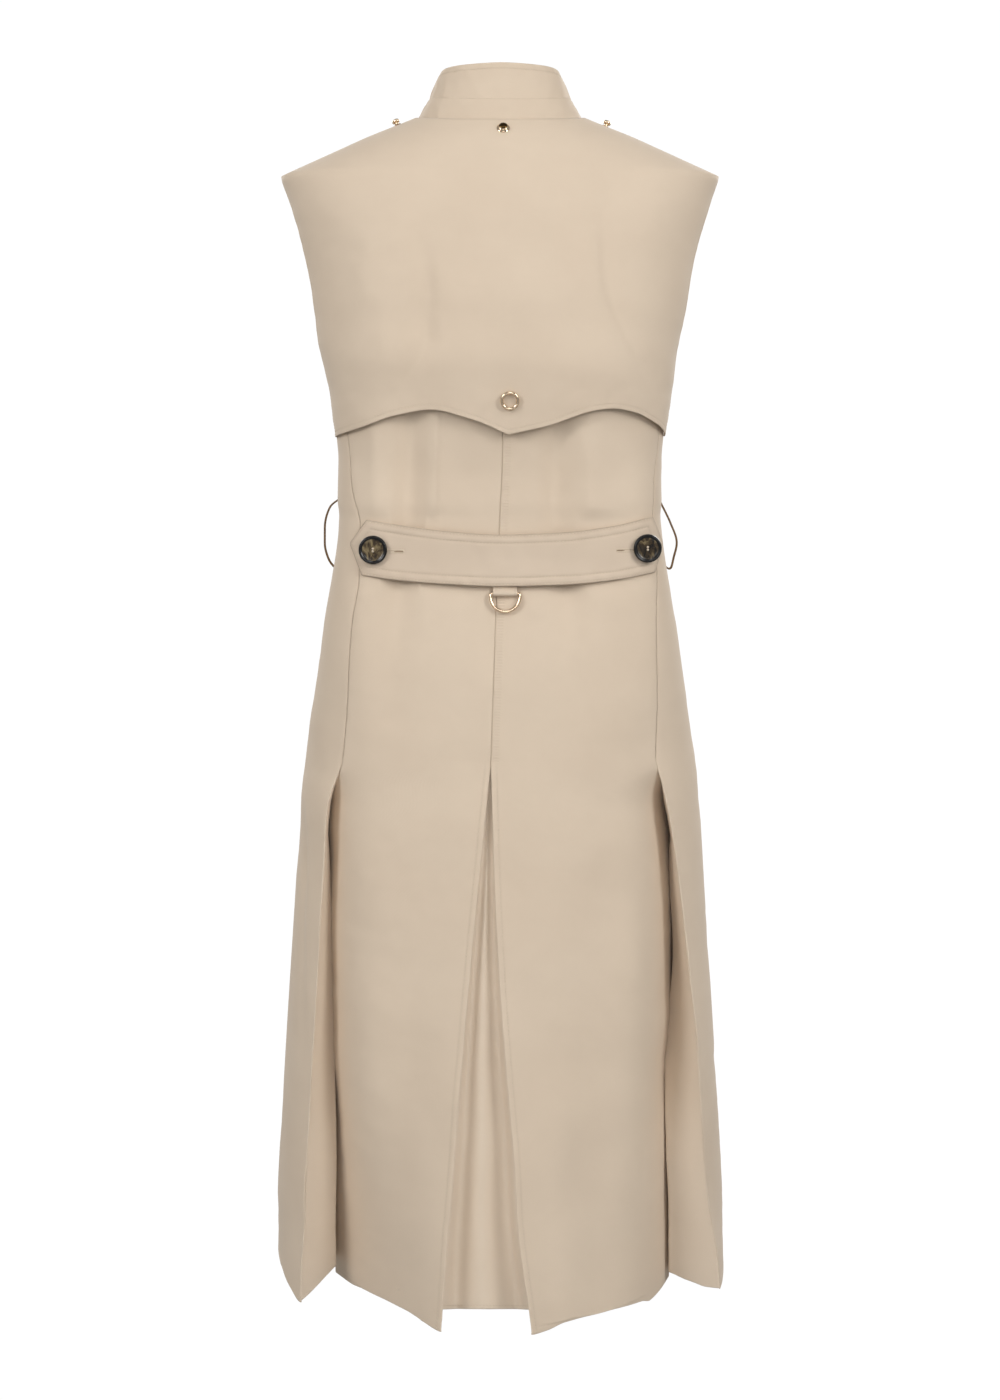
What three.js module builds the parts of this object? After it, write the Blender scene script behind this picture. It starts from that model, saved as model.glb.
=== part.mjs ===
import * as THREE from "three";

// A sleeveless trench dress, worn and hollow, with nobody in it. Millimetres, +Z up.
// -Y is the wearer's back, +Y the front, -X the wearer's left and +X the wearer's right.
// The origin is at the middle of the neck, level with the side neck points.

// Driving dimensions
const WALL = 1.5;
const SEAM_GAP = 0.3;
const HEM_Z = -1174;
const UNDERARM_Z = -285;
const SLIT_TOP_Z = -647;
const SHOULDER = { neckHalf: 87.5, tipHalf: 222, tipZ: -62, seamY: -3 };
const NECK_DROP = { back: 10, front: 75 };
const FRONT_LAP = 25;

// The worn form: half width, depth behind and before the side seams, and squareness of each level
const OUTLINE = [
  { z: -62, half: 222 },
  { z: -80, half: 215.7 },
  { z: -100, half: 210 },
  { z: -140, half: 200 },
  { z: -187, half: 190 },
  { z: -240, half: 180.5 },
  { z: -285, half: 172 },
  { z: -330, half: 167 },
  { z: -375, half: 166.5 },
  { z: -414, half: 168 },
  { z: -455, half: 174 },
  { z: -557, half: 187 },
  { z: -680, half: 202 },
  { z: -805, half: 210 },
  { z: -960, half: 220 },
  { z: -1114, half: 228 },
  { z: -1174, half: 228.5 },
];
const DEPTHS = [
  { z: 0, back: 50, front: 14, square: 2 },
  { z: -10, back: 58, front: 26, square: 2 },
  { z: -37, back: 78, front: 47, square: 2.1 },
  { z: -75, back: 97, front: 69, square: 2.3 },
  { z: -110, back: 107, front: 92, square: 2.5 },
  { z: -150, back: 114, front: 112, square: 2.6 },
  { z: -200, back: 119, front: 126, square: 2.7 },
  { z: -240, back: 119, front: 129, square: 2.8 },
  { z: -285, back: 113, front: 123, square: 3 },
  { z: -330, back: 105, front: 111, square: 3.5 },
  { z: -380, back: 99, front: 104, square: 4.3 },
  { z: -445, back: 101, front: 106, square: 5 },
  { z: -500, back: 110, front: 111, square: 4.3 },
  { z: -557, back: 120, front: 117, square: 3.6 },
  { z: -647, back: 126, front: 125, square: 3 },
  { z: -805, back: 129, front: 136, square: 3 },
  { z: -960, back: 131, front: 148, square: 2.9 },
  { z: -1174, back: 134, front: 165, square: 2.8 },
];

// Depth of the armhole's edge and of the storm flap's side edge, behind (-) or before (+) the shoulder
const ARMHOLE = [
  { z: -62, back: -3, front: -3, flap: -3 },
  { z: -80, back: -10, front: 10, flap: -10 },
  { z: -110, back: -24, front: 30, flap: -24 },
  { z: -150, back: -34, front: 46, flap: -34 },
  { z: -190, back: -39, front: 54, flap: -39 },
  { z: -230, back: -37, front: 48, flap: -38 },
  { z: -265, back: -22, front: 26, flap: -38 },
  { z: -285, back: 0, front: 0, flap: -38 },
  { z: -330, back: 0, front: 0, flap: -38 },
];

// Side-back seams, as distances from the middle: they leave the armhole at the first row
const PRINCESS_TOP_Z = -215;
const PRINCESS = [
  { z: -270, left: 160, right: 166 },
  { z: -330, left: 151, right: 158.5 },
  { z: -374, left: 146.5, right: 153 },
  { z: -417, left: 138, right: 152 },
  { z: -467, left: 139, right: 156 },
  { z: -520, left: 146, right: 154 },
  { z: -590, left: 150, right: 155.5 },
  { z: -647, left: 155, right: 153.5 },
];

// Centre-back seam, then the two edges of the centre pleat that opens below it
const CENTRE_BACK = [
  { z: 0, x: 3 },
  { z: -330, x: 2.6 },
  { z: -445, x: -2 },
  { z: -557, x: -6 },
  { z: -647, x: -9 },
];
const VENT = [
  { z: -647, left: -9, right: -9 },
  { z: -775, left: -22, right: -4.8 },
  { z: -916, left: -35.5, right: 4 },
  { z: -1007, left: -43, right: 12.4 },
  { z: -1089, left: -49.6, right: 17.5 },
  { z: -1174, left: -56, right: 30 },
];
const VENT_HEM_DEPTH = 185;

// Side pleats: the side panel's fold edge stands out, the back panel's edge turns in behind it
const SIDE_FOLD = [
  { z: -647, left: 155, right: 153.5 },
  { z: -694, left: 169, right: 165 },
  { z: -754, left: 173.5, right: 175 },
  { z: -811, left: 177, right: 182.5 },
  { z: -898, left: 182, right: 192 },
  { z: -978, left: 187, right: 198.5 },
  { z: -1057, left: 191, right: 204 },
  { z: -1101, left: 192.5, right: 209.5 },
  { z: -1143, left: 195.5, right: 216.5 },
  { z: -1174, left: 196, right: 219.5 },
];
const SIDE_FOLD_HEM_DEPTH = { left: 111, right: 84 };
const TUCKED_EDGE = [
  { z: -647, left: 155, right: 153.5 },
  { z: -720, left: 163, right: 163 },
  { z: -800, left: 166.5, right: 170 },
  { z: -900, left: 167, right: 170 },
  { z: -980, left: 166.5, right: 167 },
  { z: -1070, left: 166, right: 168 },
  { z: -1174, left: 166, right: 171 },
];
const TUCKED_HEM_DEPTH = { left: 35, right: 38 };

// Depth of both edges where a side pleat opens, the share of the slit's length in which they part,
// and the powers by which the turn of each edge fades across its panel
const SLIT_TOP_DEPTH = 103;
const SLIT_PARTING = 0.12;
const FADE = { tuck: 2.4, vent: 1.6, fold: 1.5 };

// Storm flap: its bottom edge rises to an arch on each side of a point
const FLAP = { cornerZ: -329, pointX: 8.3, fallStartZ: -140, liftStartZ: -100 };
const FLAP_LIFT = { left: 3.5, centre: 8, right: 7.5 };
const FLAP_EDGE = {
  left: [
    { x: -168, z: -329 },
    { x: -134, z: -318 },
    { x: -100, z: -306 },
    { x: -63, z: -300 },
    { x: -28, z: -308 },
    { x: 8.3, z: -324 },
  ],
  right: [
    { x: 8.3, z: -324 },
    { x: 46, z: -315 },
    { x: 88, z: -301 },
    { x: 106, z: -299 },
    { x: 129, z: -303 },
    { x: 150, z: -314 },
    { x: 168, z: -329 },
  ],
};

// Stand collar: shares of the neckline's width and depth, and height above it behind, at the side and before
const COLLAR_WALL = 2;
const STAND_LEVELS = [
  { width: 0.979, depth: 0.962, frontDepth: 0.925, back: -2.5, side: -2.5, front: -2.5 },
  { width: 0.89, depth: 0.925, frontDepth: 0.89, back: 8, side: 8, front: 8 },
  { width: 0.828, depth: 0.9, frontDepth: 0.87, back: 19, side: 17.6, front: 18 },
];
const COLLAR_LEVELS = [
  { width: 0.818, depth: 0.893, frontDepth: 0.863, back: 19.5, side: 18.1, front: 18.5 },
  { width: 0.765, depth: 0.855, frontDepth: 0.84, back: 38, side: 32, front: 33 },
  { width: 0.7, depth: 0.81, frontDepth: 0.81, back: 59, side: 45, front: 47 },
];
const COLLAR_FRONT_GAP_SHARE = 0.09;

// Back tab, its D-ring and strap
const TAB_WALL = 2.2;
const TAB = [
  { x: -150, top: -434, bottom: -437 },
  { x: -137, top: -415.5, bottom: -468.5 },
  { x: 0, top: -423.5, bottom: -475 },
  { x: 151, top: -411.5, bottom: -466 },
  { x: 162, top: -434, bottom: -437 },
];
const TAB_LIFT = 4.2;
const TAB_LIFT_ENDS = { from: 55, to: 135 };
const RING = { x: 5, z: -480.4, wire: 1.55, halfWidth: 14.3, drop: 18, corner: 2.6, tiltDegrees: 9 };
const STRAP = { width: 23.6, wall: 1.2, clearance: 0.35, top: -467, gap: 0.35 };

// Buttons, studs and the plain ring on the flap
const BUTTON = { radius: 14.1, thickness: 4.4, dish: 1.3, rim: 3.2 };
const TAB_BUTTONS = [
  { name: "tab_button_left", x: -127, z: -441 },
  { name: "tab_button_right", x: 148, z: -440 },
];
const FRONT_BUTTONS = { count: 6, topZ: -112, pitch: 115 };
const STUDS = [
  { name: "shoulder_stud_left", x: -106, y: 3.5, scale: 1 },
  { name: "shoulder_stud_right", x: 109, y: 3.5, scale: 1 },
];
const STUD_BASE = 3.6;
const NECK_STUD = { x: 3.2, z: -20, scale: 1.75 };
const FLAP_RING = { x: 9.6, z: -290.5, radius: 7.8, wire: 1.6 };

// Belt loops: narrow ribbons that bow out just behind the side seams
const LOOP_WIDTH = 7;
const LOOP_MIDDLE_Y = -4.7;
const LOOP_WALL = 1;
const LOOPS = {
  left: [
    { out: 0.9, z: -395.5 },
    { out: 10.2, z: -403.5 },
    { out: 13.2, z: -422 },
    { out: 10.5, z: -440 },
    { out: 5.6, z: -456 },
    { out: 0.9, z: -463 },
  ],
  right: [
    { out: 0.9, z: -399 },
    { out: 9.8, z: -421 },
    { out: 14, z: -440 },
    { out: 9.6, z: -455 },
    { out: 4.6, z: -466.5 },
    { out: 0.9, z: -462.5 },
  ],
};

const cloth = new THREE.MeshStandardMaterial({ color: 0xd6c5b0, roughness: 0.92 });
const underlayCloth = new THREE.MeshStandardMaterial({ color: 0xcbb9a4, roughness: 0.94 });
const gold = new THREE.MeshStandardMaterial({ color: 0xd8b878, roughness: 0.25, metalness: 1 });
const horn = new THREE.MeshStandardMaterial({ color: 0x2b241f, roughness: 0.22 });
const ribbon = new THREE.MeshStandardMaterial({ color: 0x6a5536, roughness: 0.85 });

const mix = (a, b, t) => a + (b - a) * t;
const clamp = (t) => Math.min(1, Math.max(0, t));
const smooth = (from, to, value) => {
  const t = clamp((value - from) / (to - from));
  return t * t * (3 - 2 * t);
};

// The column of a table at a place on its key, on a smooth curve through the rows that never overshoots
function along(table, column, at, key = "z") {
  const rows = table[0][key] < table[table.length - 1][key] ? table : [...table].reverse();
  const last = rows.length - 1;
  if (at <= rows[0][key]) return rows[0][column];
  if (at >= rows[last][key]) return rows[last][column];
  const i = rows.findIndex((row) => row[key] > at) - 1;
  const slope = (k) => (rows[k + 1][column] - rows[k][column]) / (rows[k + 1][key] - rows[k][key]);
  const tangent = (k) => {
    if (k === 0) return slope(0);
    if (k === last) return slope(last - 1);
    const before = slope(k - 1);
    const after = slope(k);
    return before * after <= 0 ? 0 : (2 * before * after) / (before + after);
  };
  const step = rows[i + 1][key] - rows[i][key];
  const t = (at - rows[i][key]) / step;
  return (
    rows[i][column] * (2 * t ** 3 - 3 * t ** 2 + 1) +
    rows[i + 1][column] * (3 * t ** 2 - 2 * t ** 3) +
    tangent(i) * step * (t ** 3 - 2 * t ** 2 + t) +
    tangent(i + 1) * step * (t ** 3 - t ** 2)
  );
}

// The ring of the worn form at height z
function ring(z) {
  const onShoulder = z > SHOULDER.tipZ;
  return {
    half: onShoulder ? mix(SHOULDER.neckHalf, SHOULDER.tipHalf, z / SHOULDER.tipZ) : along(OUTLINE, "half", z),
    back: along(DEPTHS, "back", z),
    front: along(DEPTHS, "front", z),
    square: along(DEPTHS, "square", z),
  };
}

// Angles run from -90 degrees at the centre back, past 0 at the side, to 90 degrees at the centre front.
// Everything is worked out on the wearer's right and mirrored by hand, 1 for the right and -1 for the left.
function ringPoint(angle, z) {
  const { half, back, front, square } = ring(z);
  const c = Math.cos(angle);
  const s = Math.sin(angle);
  const reach = (Math.abs(c) ** square + Math.abs(s) ** square) ** (-1 / square);
  return new THREE.Vector3(half * reach * c, (s < 0 ? back : front) * reach * s, z);
}

function angleAtX(x, z, face) {
  const { half, square } = ring(z);
  const share = Math.min(0.9999, Math.abs(x) / half);
  const depthShare = (1 - share ** square) ** (1 / square);
  return Math.atan2(face * depthShare, Math.sign(x) * share);
}

function angleAtY(y, z) {
  const { back, front, square } = ring(z);
  const share = Math.min(0.9999, Math.abs(y) / (y < 0 ? back : front));
  return Math.atan2(Math.sign(y) * share, (1 - share ** square) ** (1 / square));
}

const handName = (hand) => (hand > 0 ? "right" : "left");

// Angle of a panel's outer edge: shoulder seam, then armhole, then side-back seam or side seam
function outerAngle(z, column) {
  if (z > SHOULDER.tipZ) return angleAtY(SHOULDER.seamY, z);
  return angleAtY(along(ARMHOLE, column, z), z);
}

// Edge between a back panel and its side panel, in the body's own rings
function princessAngle(hand, z) {
  const name = handName(hand);
  if (z > PRINCESS[0].z) {
    const share = smooth(PRINCESS_TOP_Z, PRINCESS[0].z, z);
    const atArmhole = outerAngle(PRINCESS_TOP_Z, "back");
    const atSeam = angleAtX(PRINCESS[0][name], PRINCESS[0].z, -1);
    return mix(atArmhole, atSeam, share);
  }
  if (z > SLIT_TOP_Z) return angleAtX(along(PRINCESS, name, z), z, -1);
  return angleAtX(along(TUCKED_EDGE, name, z), z, -1);
}

function centreAngle(hand, z) {
  const x = z > SLIT_TOP_Z ? along(CENTRE_BACK, "x", z) : along(VENT, handName(hand), z);
  return angleAtX(hand * x, z, -1);
}

const slitShare = (z) => clamp((z - SLIT_TOP_Z) / (HEM_Z - SLIT_TOP_Z));

// Back panel, share 0 at the centre back and 1 at its outer edge
function backPoint(hand, share, rowZ) {
  const z = rowZ - NECK_DROP.back * (1 - share) ** 2 * (1 - smooth(0, SHOULDER.tipZ, rowZ));
  const outer = z > PRINCESS_TOP_Z ? outerAngle(z, "back") : princessAngle(hand, z);
  const point = ringPoint(mix(centreAngle(hand, z), outer, share), z);
  const open = slitShare(z);
  const name = handName(hand);
  const ventFlare = (VENT_HEM_DEPTH - along(DEPTHS, "back", HEM_Z)) * open;
  const edge = ringPoint(princessAngle(hand, z), z);
  const tuckedDepth = mix(SLIT_TOP_DEPTH, TUCKED_HEM_DEPTH[name], open);
  const tuck = Math.max(0, -edge.y - tuckedDepth) * smooth(0, SLIT_PARTING, open);
  point.y += tuck * clamp(share) ** FADE.tuck - ventFlare * (1 - clamp(share)) ** FADE.vent;
  point.x *= hand;
  return point;
}

// Side panel, share 0 at the side-back seam or fold edge and 1 at the armhole or side seam
function sidePoint(hand, share, z) {
  const name = handName(hand);
  const outer = z > UNDERARM_Z ? outerAngle(z, "back") : 0;
  const open = slitShare(z);
  const inner = z > SLIT_TOP_Z ? princessAngle(hand, z) : angleAtX(along(SIDE_FOLD, name, z), z, -1);
  const point = ringPoint(mix(inner, outer, share), z);
  const fold = ringPoint(inner, z);
  const foldDepth = mix(SLIT_TOP_DEPTH, SIDE_FOLD_HEM_DEPTH[name], open);
  const flare = Math.max(0, foldDepth + fold.y) * smooth(0, SLIT_PARTING, open);
  point.y -= flare * (1 - clamp(share)) ** FADE.fold;
  point.x *= hand;
  return point;
}

// Front panel, share 0 at its front edge past the centre front and 1 at the shoulder, armhole or side seam
function frontPoint(hand, share, rowZ) {
  const settled = smooth(0, 1.2 * UNDERARM_Z, rowZ);
  const round = Math.sin((share * Math.PI) / 2);
  const z = rowZ - NECK_DROP.front * (1 - round ** 2) * (1 - settled);
  const neckAngle = angleAtX(mix(-FRONT_LAP, SHOULDER.neckHalf, round), z, 1);
  const outer = z > UNDERARM_Z ? outerAngle(rowZ, "front") : 0;
  const inner = angleAtX(-FRONT_LAP, z, 1);
  const start = mix(neckAngle, outerAngle(rowZ, "front"), share ** 8);
  const point = ringPoint(mix(start, mix(inner, outer, share), settled), z);
  point.x *= hand;
  return point;
}

const backNeck = (hand, share) => backPoint(hand, share, 0);
const frontNeck = (hand, share) => frontPoint(hand, share, 0);

// Outward unit normal of a surface at (share, z), from the surface itself
const NORMAL_STEP = { share: 0.004, height: 0.8 };
function normalAt(surface, share, z, side) {
  const across = surface(share + NORMAL_STEP.share, z).sub(surface(share - NORMAL_STEP.share, z));
  const down = surface(share, z - NORMAL_STEP.height).sub(surface(share, z + NORMAL_STEP.height));
  return down.cross(across).normalize().multiplyScalar(side);
}

// A closed body from triangles, turned so that its faces point out
function closedBody(points, faces) {
  let volume = 0;
  for (const [a, b, c] of faces) {
    volume += points[a].dot(points[b].clone().cross(points[c]));
  }
  const turned = volume < 0 ? faces.map(([a, b, c]) => [a, c, b]) : faces;
  const geometry = new THREE.BufferGeometry();
  const numbers = points.flatMap((p) => [p.x, p.y, p.z]);
  geometry.setAttribute("position", new THREE.Float32BufferAttribute(numbers, 3));
  geometry.setIndex(turned.flat());
  geometry.computeVertexNormals();
  return geometry;
}

// A wall between two grids of points that match row for row, closed round its four edges
function wallBetween(outer, inner) {
  const rows = outer.length;
  const columns = outer[0].length;
  const points = [...outer.flat(), ...inner.flat()];
  const front = (i, j) => i * columns + j;
  const rear = (i, j) => rows * columns + i * columns + j;
  const faces = [];
  const quad = (a, b, c, d) => faces.push([a, b, c], [a, c, d]);
  for (let i = 0; i < rows - 1; i++) {
    for (let j = 0; j < columns - 1; j++) {
      quad(front(i, j), front(i + 1, j), front(i + 1, j + 1), front(i, j + 1));
      quad(rear(i, j), rear(i, j + 1), rear(i + 1, j + 1), rear(i + 1, j));
    }
    quad(front(i, 0), rear(i, 0), rear(i + 1, 0), front(i + 1, 0));
    quad(front(i, columns - 1), front(i + 1, columns - 1), rear(i + 1, columns - 1), rear(i, columns - 1));
  }
  for (let j = 0; j < columns - 1; j++) {
    quad(front(0, j), front(0, j + 1), rear(0, j + 1), rear(0, j));
    quad(front(rows - 1, j), rear(rows - 1, j), rear(rows - 1, j + 1), front(rows - 1, j + 1));
  }
  return closedBody(points, faces);
}

// A cloth panel: its surface is sampled on rows and shares, its side edges drawn in by half a seam gap
function panel(surface, heights, columns, side, { wall = WALL, lift = () => 0, trim = SEAM_GAP / 2 } = {}) {
  const outer = [];
  const inner = [];
  for (const z of heights) {
    const row = Array.from({ length: columns }, (_, j) => surface(j / (columns - 1), z));
    const drawIn = (end, next) => row[end].clone().lerp(row[next], trim / row[end].distanceTo(row[next]));
    const first = drawIn(0, 1);
    const final = drawIn(columns - 1, columns - 2);
    row[0] = first;
    row[columns - 1] = final;
    const normals = row.map((_, j) => normalAt(surface, j / (columns - 1), z, side));
    outer.push(row.map((p, j) => p.clone().addScaledVector(normals[j], lift(j / (columns - 1), z))));
    inner.push(outer.at(-1).map((p, j) => p.clone().addScaledVector(normals[j], -wall)));
  }
  return wallBetween(outer, inner);
}

// A sheet through rows of points, thickened away from the side that shows
function sheetThrough(rows, wall, side) {
  const last = rows.length - 1;
  const end = rows[0].length - 1;
  const inner = rows.map((row, i) =>
    row.map((p, j) => {
      const down = rows[Math.min(last, i + 1)][j].clone().sub(rows[Math.max(0, i - 1)][j]);
      const across = row[Math.min(end, j + 1)].clone().sub(row[Math.max(0, j - 1)]);
      return p.clone().addScaledVector(down.cross(across).normalize(), -wall * side);
    }),
  );
  return wallBetween(rows, inner);
}

const dress = new THREE.Group();

function add(name, geometry, material) {
  const mesh = new THREE.Mesh(geometry, material.clone());
  mesh.name = name;
  dress.add(mesh);
  return mesh;
}

// Heights of the rows of points, closer together where the form turns
const UPPER_ROWS = [0, -8, -20, -36, -62, -84, -112, -150, -190, -215];
const LOWER_ROWS = [-240, -262, -285, -330, -375, -414, -445, -482, -520, -557, -600, -647];
const SKIRT_ROWS = [-670, -694, -735, -800, -880, -978, -1070, -1130, HEM_Z];

// Both back panels run from the left to the right, as the flap over them does
function backPanels() {
  for (const hand of [-1, 1]) {
    const surface = (share, z) => backPoint(hand, hand > 0 ? share : 1 - share, z);
    const heights = [...UPPER_ROWS, ...LOWER_ROWS, ...SKIRT_ROWS];
    add(`back_${handName(hand)}`, panel(surface, heights, 8, 1), cloth);
  }
}

function sidePanels() {
  for (const hand of [-1, 1]) {
    const surface = (share, z) => sidePoint(hand, share, z);
    const heights = [PRINCESS_TOP_Z - 6, ...LOWER_ROWS, ...SKIRT_ROWS];
    add(`side_${handName(hand)}`, panel(surface, heights, 6, hand), cloth);
  }
}

// The wearer's right front laps over the left, which runs one wall further in under the lap
const UNDER_LAP = { full: FRONT_LAP + 16, none: FRONT_LAP + 55 };

function frontPanels() {
  const heights = [...UPPER_ROWS, ...LOWER_ROWS, ...SKIRT_ROWS.filter((z) => z !== -670 && z !== -735)];
  for (const hand of [-1, 1]) {
    const surface = (share, z) => frontPoint(hand, share, z);
    const sunk = (share, z) => {
      if (hand > 0) return 0;
      const x = -surface(share, z).x;
      return -(WALL + 3 * SEAM_GAP) * (1 - smooth(UNDER_LAP.full, UNDER_LAP.none, x));
    };
    add(`front_${handName(hand)}`, panel(surface, heights, 10, -hand, { lift: sunk }), cloth);
  }
}

// Storm flap: the back's own surface moved out, standing off further towards its bottom edge
function flapSurface(share, rowZ) {
  const hand = share < 0.5 ? -1 : 1;
  const way = Math.abs(share - 0.5) * 2;
  const edge = hand < 0 ? FLAP_EDGE.left : FLAP_EDGE.right;
  const pointAngle = angleAtX(hand * FLAP.pointX, FLAP.cornerZ, -1);
  const bottomAngle = mix(pointAngle, outerAngle(FLAP.cornerZ, "flap"), way);
  const bottomX = hand * ringPoint(bottomAngle, FLAP.cornerZ).x;
  const fall = clamp((rowZ - FLAP.fallStartZ) / (FLAP.cornerZ - FLAP.fallStartZ)) ** 2;
  const neckFall = NECK_DROP.back * (1 - way) ** 2 * (1 - smooth(0, SHOULDER.tipZ, rowZ));
  const z = rowZ - neckFall + (along(edge, "z", bottomX, "x") - FLAP.cornerZ) * fall;
  const centreX = mix(along(CENTRE_BACK, "x", z), FLAP.pointX, smooth(FLAP.fallStartZ, FLAP.cornerZ, z));
  const centre = angleAtX(hand * centreX, z, -1);
  const point = ringPoint(mix(centre, outerAngle(z, "flap"), way), z);
  point.x *= hand;
  return point;
}

function flapLift(share, z) {
  const reach = share < 0.5 ? FLAP_LIFT.left : FLAP_LIFT.right;
  const atEdge = mix(FLAP_LIFT.centre, reach, Math.abs(share - 0.5) * 2);
  return WALL + 2 * SEAM_GAP + atEdge * smooth(FLAP.liftStartZ, FLAP.cornerZ, z);
}

function stormFlap() {
  const heights = [...UPPER_ROWS, -240, -275, -305, FLAP.cornerZ];
  add("storm_flap", panel(flapSurface, heights, 15, 1, { lift: flapLift }), cloth);
}

// Neckline, share -1 and 1 at the centre front and 0 at the centre back
function neckline(share) {
  const hand = share < 0 ? -1 : 1;
  const way = Math.abs(share) * 2;
  return way < 1 ? backNeck(hand, way) : frontNeck(hand, 2 - way);
}

function collarPoint(levels, share, level) {
  const base = neckline(share);
  const way = Math.abs(share) * 2;
  const { width, depth, frontDepth, back, side, front } = levels[level];
  const rise = way < 1 ? mix(back, side, way) : mix(side, front, way - 1);
  return new THREE.Vector3(base.x * width, base.y * (base.y > 0 ? frontDepth : depth), base.z + rise);
}

function collarBand(name, levels) {
  const reach = 1 - COLLAR_FRONT_GAP_SHARE;
  const columns = 29;
  const rows = levels.map((_, level) =>
    Array.from({ length: columns }, (_, j) => collarPoint(levels, mix(-reach, reach, j / (columns - 1)), level)),
  );
  add(name, sheetThrough(rows.reverse(), COLLAR_WALL, 1), cloth);
}

// Centre pleat's underlay: it meets both back panels inside and lies back between their fold edges
const CENTRE_UNDERLAY = { topZ: -636, beyond: { top: 22, hem: 44 }, recess: 62, join: 3.1 };

function backSurfaceAt(x, z) {
  const edges = along(VENT, "left", z) + along(VENT, "right", z);
  const hand = x < edges / 2 ? -1 : 1;
  const inner = centreAngle(hand, z);
  const outer = princessAngle(hand, z);
  const share = (angleAtX(hand * x, z, -1) - inner) / (outer - inner);
  return backPoint(hand, Math.max(0, share), z);
}

function centreUnderlay() {
  const columns = 11;
  const heights = [CENTRE_UNDERLAY.topZ, -670, -705, -750, -810, -890, -980, -1070, HEM_Z + 1];
  const rows = heights.map((z) => {
    const open = slitShare(z);
    const beyond = mix(CENTRE_UNDERLAY.beyond.top, CENTRE_UNDERLAY.beyond.hem, open);
    const left = along(VENT, "left", z);
    const right = along(VENT, "right", z);
    return Array.from({ length: columns }, (_, j) => {
      const share = j / (columns - 1);
      const x = mix(left - beyond, right + beyond, share);
      const shown = x < left ? 0 : clamp((x - left) / Math.max(1, right - left));
      const atLeft = backSurfaceAt(Math.min(x, left), z).y;
      const atRight = backSurfaceAt(Math.max(x, right), z).y;
      const recess = CENTRE_UNDERLAY.recess * open * Math.sin(Math.PI * share) ** 0.8;
      return new THREE.Vector3(x, mix(atLeft, atRight, shown) + CENTRE_UNDERLAY.join + recess, z);
    });
  });
  add("underlay_centre", sheetThrough(rows, WALL, 1), underlayCloth);
}

// Side pleat's underlay: from inside the side panel's fold edge, past the back panel's edge, and back to its inside
const SIDE_UNDERLAY = { topZ: -660, atFold: 3.4, clear: 0.8, inside: 3.4, landing: 24, turn: 20 };

function sideUnderlayRow(hand, z) {
  const side = (share, height) => sidePoint(hand, share, height);
  const back = (share, height) => backPoint(hand, share, height);
  const outward = { fold: normalAt(side, 0.01, z, hand), edge: normalAt(back, 0.99, z, hand) };
  const fold = sidePoint(hand, 0, z);
  const edge = backPoint(hand, 1, z);
  const apart = clamp(fold.distanceTo(edge) / 14);
  const start = fold.clone().addScaledVector(outward.fold, -SIDE_UNDERLAY.atFold);
  const way = edge.clone().sub(start).setZ(0).normalize();
  const square = new THREE.Vector3(-way.y, way.x, 0);
  const facing = square.y < 0 ? square : square.negate();
  const passing = edge.clone().addScaledVector(facing, -SIDE_UNDERLAY.clear);
  const closed = edge.clone().addScaledVector(outward.edge, -SIDE_UNDERLAY.inside);
  const turn = closed.lerp(passing, apart);
  const width = backPoint(hand, 1, z).distanceTo(backPoint(hand, 0.9, z)) * 10;
  const landingShare = 1 - SIDE_UNDERLAY.landing / width;
  const landingNormal = normalAt(back, landingShare, z, hand);
  const landing = backPoint(hand, landingShare, z).addScaledVector(landingNormal, -SIDE_UNDERLAY.inside);
  const before = turn.clone().addScaledVector(way, SIDE_UNDERLAY.turn * apart);
  const after = landing.clone().addScaledVector(outward.edge, -SIDE_UNDERLAY.turn * 0.7 * apart);
  const bend = new THREE.CubicBezierCurve3(turn, before, after, landing);
  const strip = [0, 0.33, 0.67].map((t) => start.clone().lerp(turn, t));
  return [...strip, ...bend.getPoints(5)].map((p) => p.setZ(z));
}

function sideUnderlays() {
  const heights = [SIDE_UNDERLAY.topZ, -680, -705, -750, -810, -890, -980, -1070, HEM_Z + 1];
  for (const hand of [-1, 1]) {
    const rows = heights.map((z) => sideUnderlayRow(hand, z));
    add(`underlay_${handName(hand)}`, sheetThrough(rows, WALL, -hand), underlayCloth);
  }
}

// Back tab: pointed at both ends, held by the buttons and standing a little off the back between them
function bodyBackAt(x, z) {
  const hand = x < 0 ? -1 : 1;
  const point = ringPoint(angleAtX(Math.abs(x), z, -1), z);
  point.x = x;
  const angle = angleAtX(Math.abs(x), z, -1);
  const surface = (share, h) => ringPoint(angle + share - 0.5, h);
  const normal = normalAt(surface, 0.5, z, 1);
  return { point, normal: new THREE.Vector3(hand * normal.x, normal.y, normal.z) };
}

function tabRoom(x) {
  return 3 * SEAM_GAP + TAB_LIFT * (1 - smooth(TAB_LIFT_ENDS.from, TAB_LIFT_ENDS.to, Math.abs(x)));
}

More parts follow.
